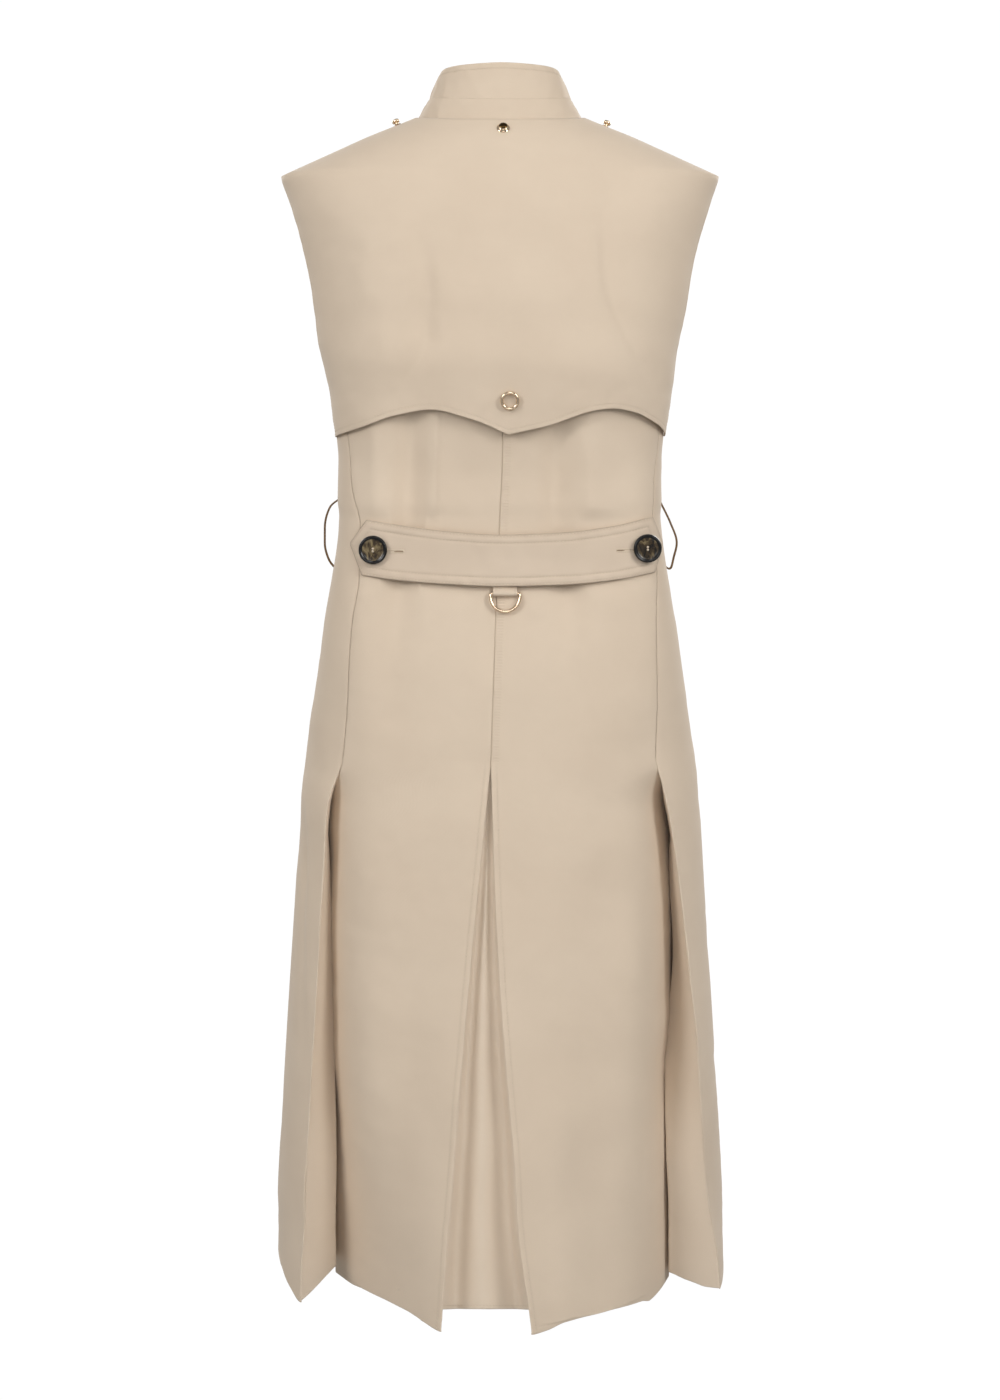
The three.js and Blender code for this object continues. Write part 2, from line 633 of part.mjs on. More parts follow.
function backTab() {
  const columns = 25;
  const levels = 4;
  const xAt = (share) => mix(TAB[0].x, TAB.at(-1).x, 0.5 - Math.cos(share * Math.PI) / 2);
  const corner = (x) => (x < TAB[1].x || x > TAB[3].x ? 1 : 0);
  const edgeAt = (x, column) => {
    if (!corner(x)) return along(TAB.slice(1, 4), column, x, "x");
    const [tip, shoulder] = x < 0 ? [TAB[0], TAB[1]] : [TAB[4], TAB[3]];
    return mix(tip[column], shoulder[column], (x - tip.x) / (shoulder.x - tip.x));
  };
  const grid = (out) =>
    Array.from({ length: levels }, (_, i) =>
      Array.from({ length: columns }, (_, j) => {
        const x = xAt(j / (columns - 1));
        const z = mix(edgeAt(x, "top"), edgeAt(x, "bottom"), i / (levels - 1));
        const { point, normal } = bodyBackAt(x, z);
        return point.addScaledVector(normal, tabRoom(x) + out);
      }),
    );
  add("back_tab", wallBetween(grid(TAB_WALL), grid(0)), cloth);
}

// Height above a point at which a disc of this radius, square to the axis, just clears the pieces under it
function clearHeight(supports, point, axis, radius) {
  const caster = new THREE.Raycaster();
  const across = new THREE.Vector3(1, 0, 0).projectOnPlane(axis).normalize();
  const upward = axis.clone().cross(across);
  const above = 40;
  let height = -above;
  for (const reach of [0, radius / 2, radius]) {
    for (let k = 0; k < 16; k++) {
      const turn = (k * Math.PI) / 8;
      const from = point.clone().addScaledVector(axis, above);
      from.addScaledVector(across, reach * Math.cos(turn)).addScaledVector(upward, reach * Math.sin(turn));
      caster.set(from, axis.clone().negate());
      const hits = caster.intersectObjects(supports, false);
      if (hits.length && hits[0].distance < 2 * above) height = Math.max(height, above - hits[0].distance);
    }
  }
  return height + SEAM_GAP;
}

// A turned piece seated on the pieces that carry it, its axis along the given direction
function seat(mesh, supportNames, point, axis, radius) {
  const supports = supportNames.map((name) => dress.getObjectByName(name));
  mesh.position.copy(point).addScaledVector(axis, clearHeight(supports, point, axis, radius));
  mesh.quaternion.setFromUnitVectors(new THREE.Vector3(0, 1, 0), axis);
}

function buttonGeometry() {
  const { radius, thickness, dish, rim } = BUTTON;
  const profile = [
    [0, 0],
    [radius - 2.4, 0],
    [radius, 1.6],
    [radius, thickness - 1.2],
    [radius - 1.1, thickness],
    [radius - rim, thickness - dish],
    [0, thickness - dish],
  ];
  const outline = profile.map(([r, h]) => new THREE.Vector2(r, h));
  return new THREE.LatheGeometry(outline, 18);
}

function buttons() {
  for (const { name, x, z } of TAB_BUTTONS) {
    const { point, normal } = bodyBackAt(x, z);
    const facing = normal.clone().add(new THREE.Vector3(0, -0.5, 0)).normalize();
    seat(add(name, buttonGeometry(), horn), ["back_tab"], point, facing, BUTTON.radius);
  }
  for (let i = 0; i < FRONT_BUTTONS.count; i++) {
    const z = FRONT_BUTTONS.topZ - i * FRONT_BUTTONS.pitch;
    const point = ringPoint(Math.PI / 2, z);
    const normal = normalAt((share, h) => ringPoint(Math.PI / 2 + share, h), 0, z, 1);
    const supports = ["front_right", "front_left"];
    seat(add(`front_button_${i + 1}`, buttonGeometry(), horn), supports, point, normal, BUTTON.radius);
  }
}

function studGeometry(scale) {
  const profile = [
    [0, 0],
    [STUD_BASE, 0],
    [3.4, 0.9],
    [1.3, 1.3],
    [1.3, 3],
    [3, 3.9],
    [3.3, 5.2],
    [2.4, 6.9],
    [0, 7.3],
  ];
  const squash = scale > 1 ? 0.9 : 1;
  const outline = profile.map(([r, h]) => new THREE.Vector2(r * scale, h * squash));
  return new THREE.LatheGeometry(outline, 14);
}

function studs() {
  for (const { name, x, y, scale } of STUDS) {
    const reach = (Math.abs(x) - SHOULDER.neckHalf) / (SHOULDER.tipHalf - SHOULDER.neckHalf);
    const z = mix(0, SHOULDER.tipZ, reach);
    const angle = angleAtY(y, z);
    const normal = normalAt((share, h) => ringPoint(angle + share, h), 0, z, 1);
    const point = ringPoint(angle, z);
    const hand = Math.sign(x);
    point.x *= hand;
    normal.x *= hand;
    const supports = [`front_${handName(hand)}`, "storm_flap"];
    seat(add(name, studGeometry(scale), gold), supports, point, normal, STUD_BASE * scale);
  }
  const { point, normal } = bodyBackAt(NECK_STUD.x, NECK_STUD.z);
  const neckStud = add("neck_stud", studGeometry(NECK_STUD.scale), gold);
  seat(neckStud, ["storm_flap"], point, normal, STUD_BASE * NECK_STUD.scale);
}

// A round wire along a closed path in the XZ plane
function closedWire(path, radius, sides) {
  const count = path.length;
  const points = [];
  const faces = [];
  path.forEach((p, i) => {
    const heading = path[(i + 1) % count].clone().sub(path[(i + count - 1) % count]).normalize();
    const side = new THREE.Vector3(-heading.z, 0, heading.x);
    for (let k = 0; k < sides; k++) {
      const turn = (2 * Math.PI * k) / sides;
      const offset = new THREE.Vector3(0, radius * Math.sin(turn), 0).addScaledVector(side, radius * Math.cos(turn));
      points.push(p.clone().add(offset));
    }
  });
  for (let i = 0; i < count; i++) {
    const next = (i + 1) % count;
    for (let k = 0; k < sides; k++) {
      const up = (k + 1) % sides;
      const [a, b, c, d] = [i * sides + k, next * sides + k, next * sides + up, i * sides + up];
      faces.push([a, b, c], [a, c, d]);
    }
  }
  return closedBody(points, faces);
}

// D-ring: a straight bar, two short sides and a half round, with the bar's axis at its own origin
function ringPath() {
  const { halfWidth, drop, corner } = RING;
  const path = [];
  const arc = (cx, cz, radius, from, to, steps) => {
    for (let i = 0; i <= steps; i++) {
      const turn = mix(from, to, i / steps);
      path.push(new THREE.Vector3(cx + radius * Math.cos(turn), 0, cz + radius * Math.sin(turn)));
    }
  };
  arc(halfWidth - corner, -corner, corner, Math.PI / 2, 0, 3);
  arc(0, -(drop - halfWidth), halfWidth, 0, -Math.PI, 14);
  arc(-halfWidth + corner, -corner, corner, Math.PI, Math.PI / 2, 3);
  return path;
}

function dRing() {
  const behind = ringPoint(angleAtX(RING.x, RING.z, -1), RING.z).y;
  const strapRadius = RING.wire + STRAP.clearance + STRAP.wall;
  const axisY = behind - STRAP.gap - strapRadius;
  const pivot = new THREE.Group();
  pivot.position.set(RING.x, axisY, RING.z);
  pivot.rotation.x = THREE.MathUtils.degToRad(-RING.tiltDegrees);
  const mesh = new THREE.Mesh(closedWire(ringPath(), RING.wire, 8), gold.clone());
  mesh.name = "d_ring";
  pivot.add(mesh);
  dress.add(pivot);

  // Strap: two layers sewn flat behind the tab, opening into a loop round the bar
  const shape = new THREE.Shape();
  const flat = 2 * STRAP.wall;
  const topZ = STRAP.top - RING.z;
  const lean = 0.5 * (behind - ringPoint(angleAtX(RING.x, STRAP.top, -1), STRAP.top).y);
  shape.moveTo(strapRadius - lean, topZ);
  shape.lineTo(strapRadius - lean - flat, topZ);
  shape.lineTo(strapRadius - flat, strapRadius + 0.8);
  shape.absarc(0, 0, strapRadius, Math.PI * 0.86, Math.PI * 2.08, false);
  shape.lineTo(strapRadius, strapRadius * 0.4);
  const hole = new THREE.Path();
  hole.absarc(0, 0, RING.wire + STRAP.clearance, 0, Math.PI * 2, true);
  shape.holes.push(hole);
  const strap = new THREE.ExtrudeGeometry(shape, { depth: STRAP.width, bevelEnabled: false, curveSegments: 10 });
  strap.translate(0, 0, -STRAP.width / 2);
  const [xAxis, yAxis, zAxis] = [new THREE.Vector3(1, 0, 0), new THREE.Vector3(0, 1, 0), new THREE.Vector3(0, 0, 1)];
  strap.applyMatrix4(new THREE.Matrix4().makeBasis(yAxis, zAxis, xAxis));
  add("d_ring_strap", strap, cloth).position.set(RING.x, axisY, RING.z);
}

function flapRing() {
  const { point, normal } = bodyBackAt(FLAP_RING.x, FLAP_RING.z);
  const path = Array.from({ length: 22 }, (_, i) => {
    const turn = (-2 * Math.PI * i) / 22;
    return new THREE.Vector3(FLAP_RING.radius * Math.cos(turn), 0, FLAP_RING.radius * Math.sin(turn));
  });
  const mesh = add("flap_ring", closedWire(path, FLAP_RING.wire, 8), gold);
  seat(mesh, ["storm_flap"], point, normal, FLAP_RING.radius + FLAP_RING.wire);
  mesh.position.addScaledVector(normal, FLAP_RING.wire);
}

function beltLoops() {
  for (const hand of [-1, 1]) {
    const stops = LOOPS[handName(hand)];
    const curve = new THREE.CatmullRomCurve3(
      stops.map(({ out, z }) => new THREE.Vector3(hand * (ring(z).half + out), 0, z)),
      false,
      "centripetal",
    );
    const edges = [LOOP_MIDDLE_Y - LOOP_WIDTH / 2, LOOP_MIDDLE_Y + LOOP_WIDTH / 2];
    const rows = curve.getPoints(16).map((p) => edges.map((y) => new THREE.Vector3(p.x, y, p.z)));
    add(`belt_loop_${handName(hand)}`, sheetThrough(rows, LOOP_WALL, -hand), ribbon);
  }
}

backPanels();
sidePanels();
frontPanels();
centreUnderlay();
sideUnderlays();
stormFlap();
collarBand("collar_stand", STAND_LEVELS);
collarBand("collar_upper", COLLAR_LEVELS);
backTab();
buttons();
studs();
dRing();
flapRing();
beltLoops();

export default dress;
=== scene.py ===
import math
from functools import partial

import bpy
import numpy as np
from mathutils import Matrix, Vector


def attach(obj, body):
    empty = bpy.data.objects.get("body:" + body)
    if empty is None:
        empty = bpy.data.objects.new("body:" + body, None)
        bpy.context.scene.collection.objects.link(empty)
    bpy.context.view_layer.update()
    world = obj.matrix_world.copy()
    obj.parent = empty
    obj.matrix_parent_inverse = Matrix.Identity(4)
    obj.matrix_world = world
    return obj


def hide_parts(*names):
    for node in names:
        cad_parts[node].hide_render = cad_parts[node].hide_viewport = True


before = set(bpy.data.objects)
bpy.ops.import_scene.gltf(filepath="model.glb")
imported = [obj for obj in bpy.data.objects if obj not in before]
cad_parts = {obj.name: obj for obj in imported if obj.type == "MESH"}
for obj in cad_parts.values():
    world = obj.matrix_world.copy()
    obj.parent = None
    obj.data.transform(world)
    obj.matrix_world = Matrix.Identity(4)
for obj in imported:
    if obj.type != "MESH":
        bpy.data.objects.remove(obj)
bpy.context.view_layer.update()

# Sizes are in millimetres up to the place where a mesh is made, which takes metres.
# -Y is the wearer's back, +Y the front, -X the left and +X the right. The origin is the middle of the neck.
MM = 0.001
WALL = 1.3
HEM_Z = -1178
UNDERARM_Z = -285
SLIT_TOP_Z = -643
NECK_HALF, TIP_HALF, TIP_Z, SEAM_Y = 87.5, 222, -62, -3
NECK_DROP_BACK, NECK_DROP_FRONT = 8, 75
FRONT_LAP = 25
SIDES = {-1: "left", 1: "right"}


def mix(a, b, t):
    return a + (b - a) * t


def clamp(t):
    return np.clip(t, 0, 1)


def smooth(start, end, value):
    t = clamp((value - start) / (end - start))
    return t * t * (3 - 2 * t)


class Curve:
    """A smooth curve through the rows (place, value) of a table, which never overshoots them."""

    def __init__(self, rows):
        rows = sorted(rows)
        x = np.array([row[0] for row in rows], float)
        y = np.array([row[1] for row in rows], float)
        slope = np.diff(y) / np.diff(x)
        tangent = np.concatenate([slope[:1], np.zeros(len(x) - 2), slope[-1:]])
        for k in range(1, len(x) - 1):
            before, after = slope[k - 1], slope[k]
            if before * after > 0:
                tangent[k] = 2 * before * after / (before + after)
        self.x = np.unique(np.concatenate([np.linspace(x[0], x[-1], 1500), x]))
        i = np.clip(np.searchsorted(x, self.x, side="right") - 1, 0, len(x) - 2)
        step = x[i + 1] - x[i]
        t = (self.x - x[i]) / step
        self.y = (
            y[i] * (2 * t**3 - 3 * t**2 + 1)
            + y[i + 1] * (3 * t**2 - 2 * t**3)
            + tangent[i] * step * (t**3 - 2 * t**2 + t)
            + tangent[i + 1] * step * (t**3 - t**2)
        )

    def __call__(self, at):
        return np.interp(at, self.x, self.y)


# Half width of the worn form at each height
OUTLINE = Curve(
    [
        (-62, 222), (-80, 215.7), (-100, 210), (-140, 200), (-187, 190), (-240, 180.5),
        (-285, 172), (-330, 166), (-352, 163.8), (-400, 163), (-430, 164.5), (-460, 168.5),
        (-510, 177.5), (-557, 184.5), (-680, 202), (-805, 210), (-960, 220), (-1114, 228),
        (-1174, 228.5),
    ]
)
# Height, depth behind, depth before, squareness
DEPTHS = [
    (0, 50, 14, 2), (-10, 58, 26, 2), (-37, 78, 47, 2.1), (-75, 97, 69, 2.3), (-110, 107, 92, 2.5),
    (-150, 114, 112, 2.6), (-200, 119, 126, 2.7), (-240, 119, 129, 2.8), (-285, 113, 123, 3),
    (-330, 105, 111, 3.5), (-380, 99, 104, 4.3), (-445, 101, 106, 5), (-500, 110, 111, 4.3),
    (-557, 120, 117, 3.6), (-647, 126, 125, 3), (-805, 129, 136, 3), (-960, 131, 148, 2.9),
    (-1174, 134, 165, 2.8),
]
BACK_DEPTH = Curve([(row[0], row[1]) for row in DEPTHS])
FRONT_DEPTH = Curve([(row[0], row[2]) for row in DEPTHS])
SQUARE = Curve([(row[0], row[3]) for row in DEPTHS])
# Height, then the armhole's edge behind and before, and the flap's side edge
ARMHOLE = [
    (-62, -3, -3, -3), (-80, -10, 10, -10), (-110, -24, 30, -24), (-150, -34, 46, -34),
    (-190, -39, 54, -39), (-230, -37, 48, -38), (-265, -22, 26, -38), (-285, 0, 0, -38),
    (-330, 0, 0, -38),
]
EDGE_DEPTH = {
    name: Curve([(row[0], row[i + 1]) for row in ARMHOLE])
    for i, name in enumerate(["back", "front", "flap"])
}
PRINCESS_TOP_Z = -215
PRINCESS_SEAM_Z = -270
PRINCESS_ROWS = [
    (-270, 160, 166), (-330, 151, 158.5), (-374, 146.5, 153), (-417, 138, 152), (-467, 139, 156),
    (-520, 146, 154), (-590, 150, 155.5), (-647, 155, 153.5),
]
SIDE_FOLD_ROWS = [
    (-647, 155, 153.5), (-694, 169, 165), (-754, 173.5, 175), (-811, 177, 182.5), (-898, 182, 192),
    (-978, 187, 198.5), (-1057, 191, 204), (-1101, 192.5, 209.5), (-1143, 195.5, 216.5),
    (-1174, 196, 219.5),
]
TUCKED_ROWS = [
    (-647, 155, 153.5), (-720, 163, 163), (-800, 166.5, 170), (-900, 167, 170), (-980, 167, 168),
    (-1070, 168, 170.5), (-1178, 168, 173),
]
# Crest of the strip that each side pleat shows, in front of the back panel's edge
CREST_ROWS = [
    (-647, 155, 153.5), (-700, 172.5, 165), (-722, 170.4, 170.5), (-740, 169.2, 169),
    (-783, 167.8, 170), (-802, 167.4, 171.5), (-850, 166.6, 173.5), (-890, 165.8, 171),
    (-970, 164.3, 165.2), (-1050, 162.6, 166.3), (-1095, 163.6, 168.5), (-1178, 164.2, 169.6),
]
VENT_ROWS = [
    (-647, -9, -9), (-775, -22, -4.8), (-916, -35.5, 4), (-1007, -43, 12.4), (-1089, -49.6, 17.5),
    (-1174, -56, 30),
]


def both_sides(rows):
    return {-1: Curve([(r[0], r[1]) for r in rows]), 1: Curve([(r[0], r[2]) for r in rows])}


PRINCESS = both_sides(PRINCESS_ROWS)
SIDE_FOLD = both_sides(SIDE_FOLD_ROWS)
TUCKED_EDGE = both_sides(TUCKED_ROWS)
CREST = both_sides(CREST_ROWS)
VENT = both_sides(VENT_ROWS)
CENTRE_BACK = Curve([(0, 3), (-330, 2.6), (-445, -2), (-557, -6), (-647, -9)])
VENT_HEM_DEPTH = 185
SIDE_FOLD_HEM_DEPTH = {-1: 111, 1: 84}
TUCKED_HEM_DEPTH = {-1: 35, 1: 38}
SLIT_TOP_DEPTH = 103
SLIT_PARTING = 0.1
FADE_TUCK = {-1: 1.9, 1: 5}
FADE_TUCK_ABOVE, FADE_VENT, FADE_FOLD = 9, 1.6, 1.5
PLEAT_BEHIND, PLEAT_DEEPER = 9, {-1: 32, 1: 62}


def ring(z):
    onto_shoulder = mix(NECK_HALF, TIP_HALF, z / TIP_Z)
    half = np.where(z > TIP_Z, onto_shoulder, OUTLINE(z))
    return half, BACK_DEPTH(z), FRONT_DEPTH(z), SQUARE(z)


def ring_point(angle, z):
    """The worn form at an angle: -90 degrees centre back, 0 side, 90 centre front. Returns x, y."""
    half, back, front, square = ring(z)
    c, s = np.cos(angle), np.sin(angle)
    reach = (np.abs(c) ** square + np.abs(s) ** square) ** (-1 / square)
    return half * reach * c, np.where(s < 0, back, front) * reach * s


def angle_at_x(x, z, face):
    half, _, _, square = ring(z)
    share = np.minimum(0.9999, np.abs(x) / half)
    return np.arctan2(face * (1 - share**square) ** (1 / square), np.sign(x) * share)


def angle_at_y(y, z):
    _, back, front, square = ring(z)
    share = np.minimum(0.9999, np.abs(y) / np.where(y < 0, back, front))
    return np.arctan2(np.sign(y) * share, (1 - share**square) ** (1 / square))


def outer_angle(z, column):
    y = np.where(z > TIP_Z, SEAM_Y, EDGE_DEPTH[column](z))
    return angle_at_y(y, z)


def slit_share(z):
    return clamp((z - SLIT_TOP_Z) / (HEM_Z - SLIT_TOP_Z))


def hidden_share(z):
    """1 where the back panel's edge lies behind the pleat's return strip, 0 where they meet."""
    part = slit_share(z)
    return smooth(0, 0.09, part) * (1 - smooth(0.5, 0.82, part))


def princess_angle(hand, z):
    at_armhole = outer_angle(np.float64(PRINCESS_TOP_Z), "back")
    at_seam = angle_at_x(PRINCESS[hand](PRINCESS_SEAM_Z), np.float64(PRINCESS_SEAM_Z), -1)
    leaving = mix(at_armhole, at_seam, smooth(PRINCESS_TOP_Z, PRINCESS_SEAM_Z, z))
    tucked = TUCKED_EDGE[hand](z) + PLEAT_BEHIND * hidden_share(z)
    x = np.where(z > SLIT_TOP_Z, PRINCESS[hand](z), tucked)
    return np.where(z > PRINCESS_SEAM_Z, leaving, angle_at_x(x, z, -1))


def centre_angle(hand, z):
    x = np.where(z > SLIT_TOP_Z, CENTRE_BACK(z), VENT[hand](z))
    return angle_at_x(hand * x, z, -1)


def back_point(hand, share, row_z):
    """Back panel, share 0 at the centre back and 1 at its outer edge."""
    z = row_z - NECK_DROP_BACK * (1 - clamp(share) ** 2) ** 2 * (1 - smooth(0, TIP_Z, row_z))
    outer = np.where(z > PRINCESS_TOP_Z, outer_angle(z, "back"), princess_angle(hand, z))
    x, y = ring_point(mix(centre_angle(hand, z), outer, share), z)
    part = slit_share(z)
    _, edge_y = ring_point(princess_angle(hand, z), z)
    tucked = mix(SLIT_TOP_DEPTH, TUCKED_HEM_DEPTH[hand], part) - PLEAT_DEEPER[hand] * hidden_share(z)
    fade = mix(FADE_TUCK_ABOVE, FADE_TUCK[hand], smooth(0.35, 0.95, part))
    tuck = np.maximum(0, -edge_y - tucked) * smooth(0, SLIT_PARTING, part)
    flare = (VENT_HEM_DEPTH - BACK_DEPTH(HEM_Z)) * part
    y = y + tuck * clamp(share) ** fade - flare * (1 - clamp(share)) ** FADE_VENT
    return np.stack([hand * x, y, z + 0 * x], axis=-1)


def side_point(hand, share, z):
    """Side-back panel, share 0 at the side-back seam or fold edge and 1 at the armhole or side seam."""
    outer = np.where(z > UNDERARM_Z, outer_angle(z, "back"), 0)
    inner = np.where(z > SLIT_TOP_Z, princess_angle(hand, z), angle_at_x(SIDE_FOLD[hand](z), z, -1))
    x, y = ring_point(mix(inner, outer, share), z)
    part = slit_share(z)
    _, fold_y = ring_point(inner, z)
    depth = mix(SLIT_TOP_DEPTH, SIDE_FOLD_HEM_DEPTH[hand], part)
    flare = np.maximum(0, depth + fold_y) * smooth(0, SLIT_PARTING, part)
    y = y - flare * (1 - clamp(share)) ** FADE_FOLD
    return np.stack([hand * x, y, z + 0 * x], axis=-1)


def front_point(hand, share, row_z):
    """Front panel, share 0 at its edge past the centre and 1 at shoulder, armhole or side seam."""
    settled = smooth(0, 1.2 * UNDERARM_Z, row_z)
    turn = np.sin(np.clip(share, -0.1, 1) * math.pi / 2)
    z = row_z - NECK_DROP_FRONT * (1 - turn**2) * (1 - settled)
    neck_angle = angle_at_x(mix(-FRONT_LAP, NECK_HALF, turn), z, 1)
    outer = np.where(z > UNDERARM_Z, outer_angle(row_z, "front"), 0)
    inner = angle_at_x(np.float64(-FRONT_LAP), z, 1)
    start = mix(neck_angle, outer_angle(row_z, "front"), np.abs(share) ** 8)
    x, y = ring_point(mix(start, mix(inner, outer, share), settled), z)
    return np.stack([hand * x, y, z + 0 * x], axis=-1)


HEM_FIT_FROM_Z = -1040
# How far the hem is lifted or let down at each x
HEM_FIT = {
    "back": Curve([
        (-168, -2), (-150, 0), (-131, 5), (-112, 6), (-92, 6), (-73, 3), (-58, 0), (20, 0), (34, -3),
        (46, -2), (62, 2), (84, 3), (104, 3), (122, 2), (140, -1), (150, -6), (172, -5),
    ]),
    "side": Curve([
        (-226, 22), (-219, 17), (-215, 12), (-207, 5), (-197, -2), (-150, -2), (0, 0), (160, -3),
        (214, 0), (222, 1), (228, 6),
    ]),
    "strip": Curve([
        (-200, -3), (-192, 0), (-182, 6), (-172, 13), (-163, 18), (-60, 18), (60, 8), (163, 8),
        (171, 7), (185, 3), (195, 1), (205, -1), (220, 0),
    ]),
    "underlay": Curve([(-150, 13.5), (150, 13.5)]),
}


def hem_fitted(points, piece):
    points = np.array(points, float)
    x, z = points[..., 0], points[..., 2]
    points[..., 2] = z + HEM_FIT[piece](x) * smooth(HEM_FIT_FROM_Z, HEM_Z, z)
    return points


# Storm flap: its bottom edge rises to an arch on each side of a point
FLAP_CORNER_Z, FLAP_POINT_X, FLAP_FALL_START_Z, FLAP_LIFT_START_Z = -329, 8.3, -140, -100
FLAP_LIFT = {-1: 3.5, 0: 8, 1: 7.5}
FLAP_EDGE = {
    -1: Curve([(-168, -329), (-134, -318), (-100, -306), (-63, -300), (-28, -308), (8.3, -324)]),
    1: Curve([(8.3, -324), (46, -315), (88, -301), (106, -299), (129, -303), (150, -314), (168, -329)]),
}
# How far its side edges are drawn in
FLAP_DRAWN_IN = {
    -1: Curve([(-329, 4.5), (-260, 2.5), (-190, 0)]),
    1: Curve([(-329, 8.5), (-300, 7), (-240, 5), (-190, 2), (-130, 0)]),
}


def flap_point(share, row_z):
    """Storm flap, share 0 at its left edge and 1 at its right edge."""
    hand = np.where(share < 0.5, -1, 1)
    way = np.abs(share - 0.5) * 2
    point_angle = angle_at_x(hand * FLAP_POINT_X, np.float64(FLAP_CORNER_Z), -1)
    corner_angle = outer_angle(np.float64(FLAP_CORNER_Z), "flap")
    bottom_x, _ = ring_point(mix(point_angle, corner_angle, way), np.float64(FLAP_CORNER_Z))
    bottom_x = hand * bottom_x
    edge_z = np.where(hand < 0, FLAP_EDGE[-1](bottom_x), FLAP_EDGE[1](bottom_x))
    fall = clamp((row_z - FLAP_FALL_START_Z) / (FLAP_CORNER_Z - FLAP_FALL_START_Z)) ** 2
    neck_fall = NECK_DROP_BACK * (1 - clamp(way) ** 2) ** 2 * (1 - smooth(0, TIP_Z, row_z))
    z = row_z - neck_fall + (edge_z - FLAP_CORNER_Z) * fall
    centre_x = mix(CENTRE_BACK(z), FLAP_POINT_X, smooth(FLAP_FALL_START_Z, FLAP_CORNER_Z, z))
    centre = angle_at_x(hand * centre_x, z, -1)
    x, y = ring_point(mix(centre, outer_angle(z, "flap"), way), z)
    x = x - np.where(hand < 0, FLAP_DRAWN_IN[-1](z), FLAP_DRAWN_IN[1](z)) * way**3
    return np.stack([hand * x, y, z + 0 * x], axis=-1)


def flap_lift(share, z):
    reach = np.where(share < 0.5, FLAP_LIFT[-1], FLAP_LIFT[1])
    at_edge = mix(FLAP_LIFT[0], reach, np.abs(share - 0.5) * 2)
    return 2.1 + at_edge * smooth(FLAP_LIFT_START_Z, FLAP_CORNER_Z, z)


# Relief of the cloth, in millimetres out along its normal
class Fold:
    """A ridge or trough down the cloth. Its rows give z, x, width left and right, and height."""

    def __init__(self, rows):
        self.x, self.left, self.right, self.height = (
            Curve([(row[0], row[k]) for row in rows]) for k in (1, 2, 3, 4)
        )
        self.top, self.bottom = max(row[0] for row in rows), min(row[0] for row in rows)

    def __call__(self, x, z):
        away = x - self.x(z)
        width = np.where(away < 0, self.left(z), self.right(z))
        inside = (z <= self.top) & (z >= self.bottom)
        return np.where(inside, self.height(z), 0) * np.exp(-((away / width) ** 2))


FLAP_FOLDS = [
    Fold([
        (-96, -82, 16, 16, 0), (-140, -76, 14, 12, -1.6), (-190, -70, 14, 10, -3.0),
        (-232, -72, 13, 10, -3.4), (-265, -88, 12, 11, -2.4), (-312, -104, 12, 12, 0),
    ]),
    Fold([
        (-70, 96, 10, 16, 0), (-110, 99, 8, 16, -1.6), (-152, 102, 7, 15, -3.0),
        (-188, 107, 7, 14, -3.4), (-222, 120, 7, 13, -3.2), (-258, 138, 8, 12, -2.6),
        (-290, 156, 9, 10, 0),
    ]),
    Fold([
        (-60, -150, 22, 20, 0), (-150, -128, 22, 20, 1.6), (-240, -118, 22, 20, 1.8),
        (-318, -124, 22, 18, 0),
    ]),
    Fold([
        (-190, 62, 24, 22, 0), (-260, 70, 24, 22, 1.4), (-322, 76, 24, 22, 2.2),
    ]),
    Fold([
        (-180, -30, 22, 20, 0), (-270, -34, 22, 20, 1.0), (-322, -40, 22, 20, 2.2),
    ]),
]
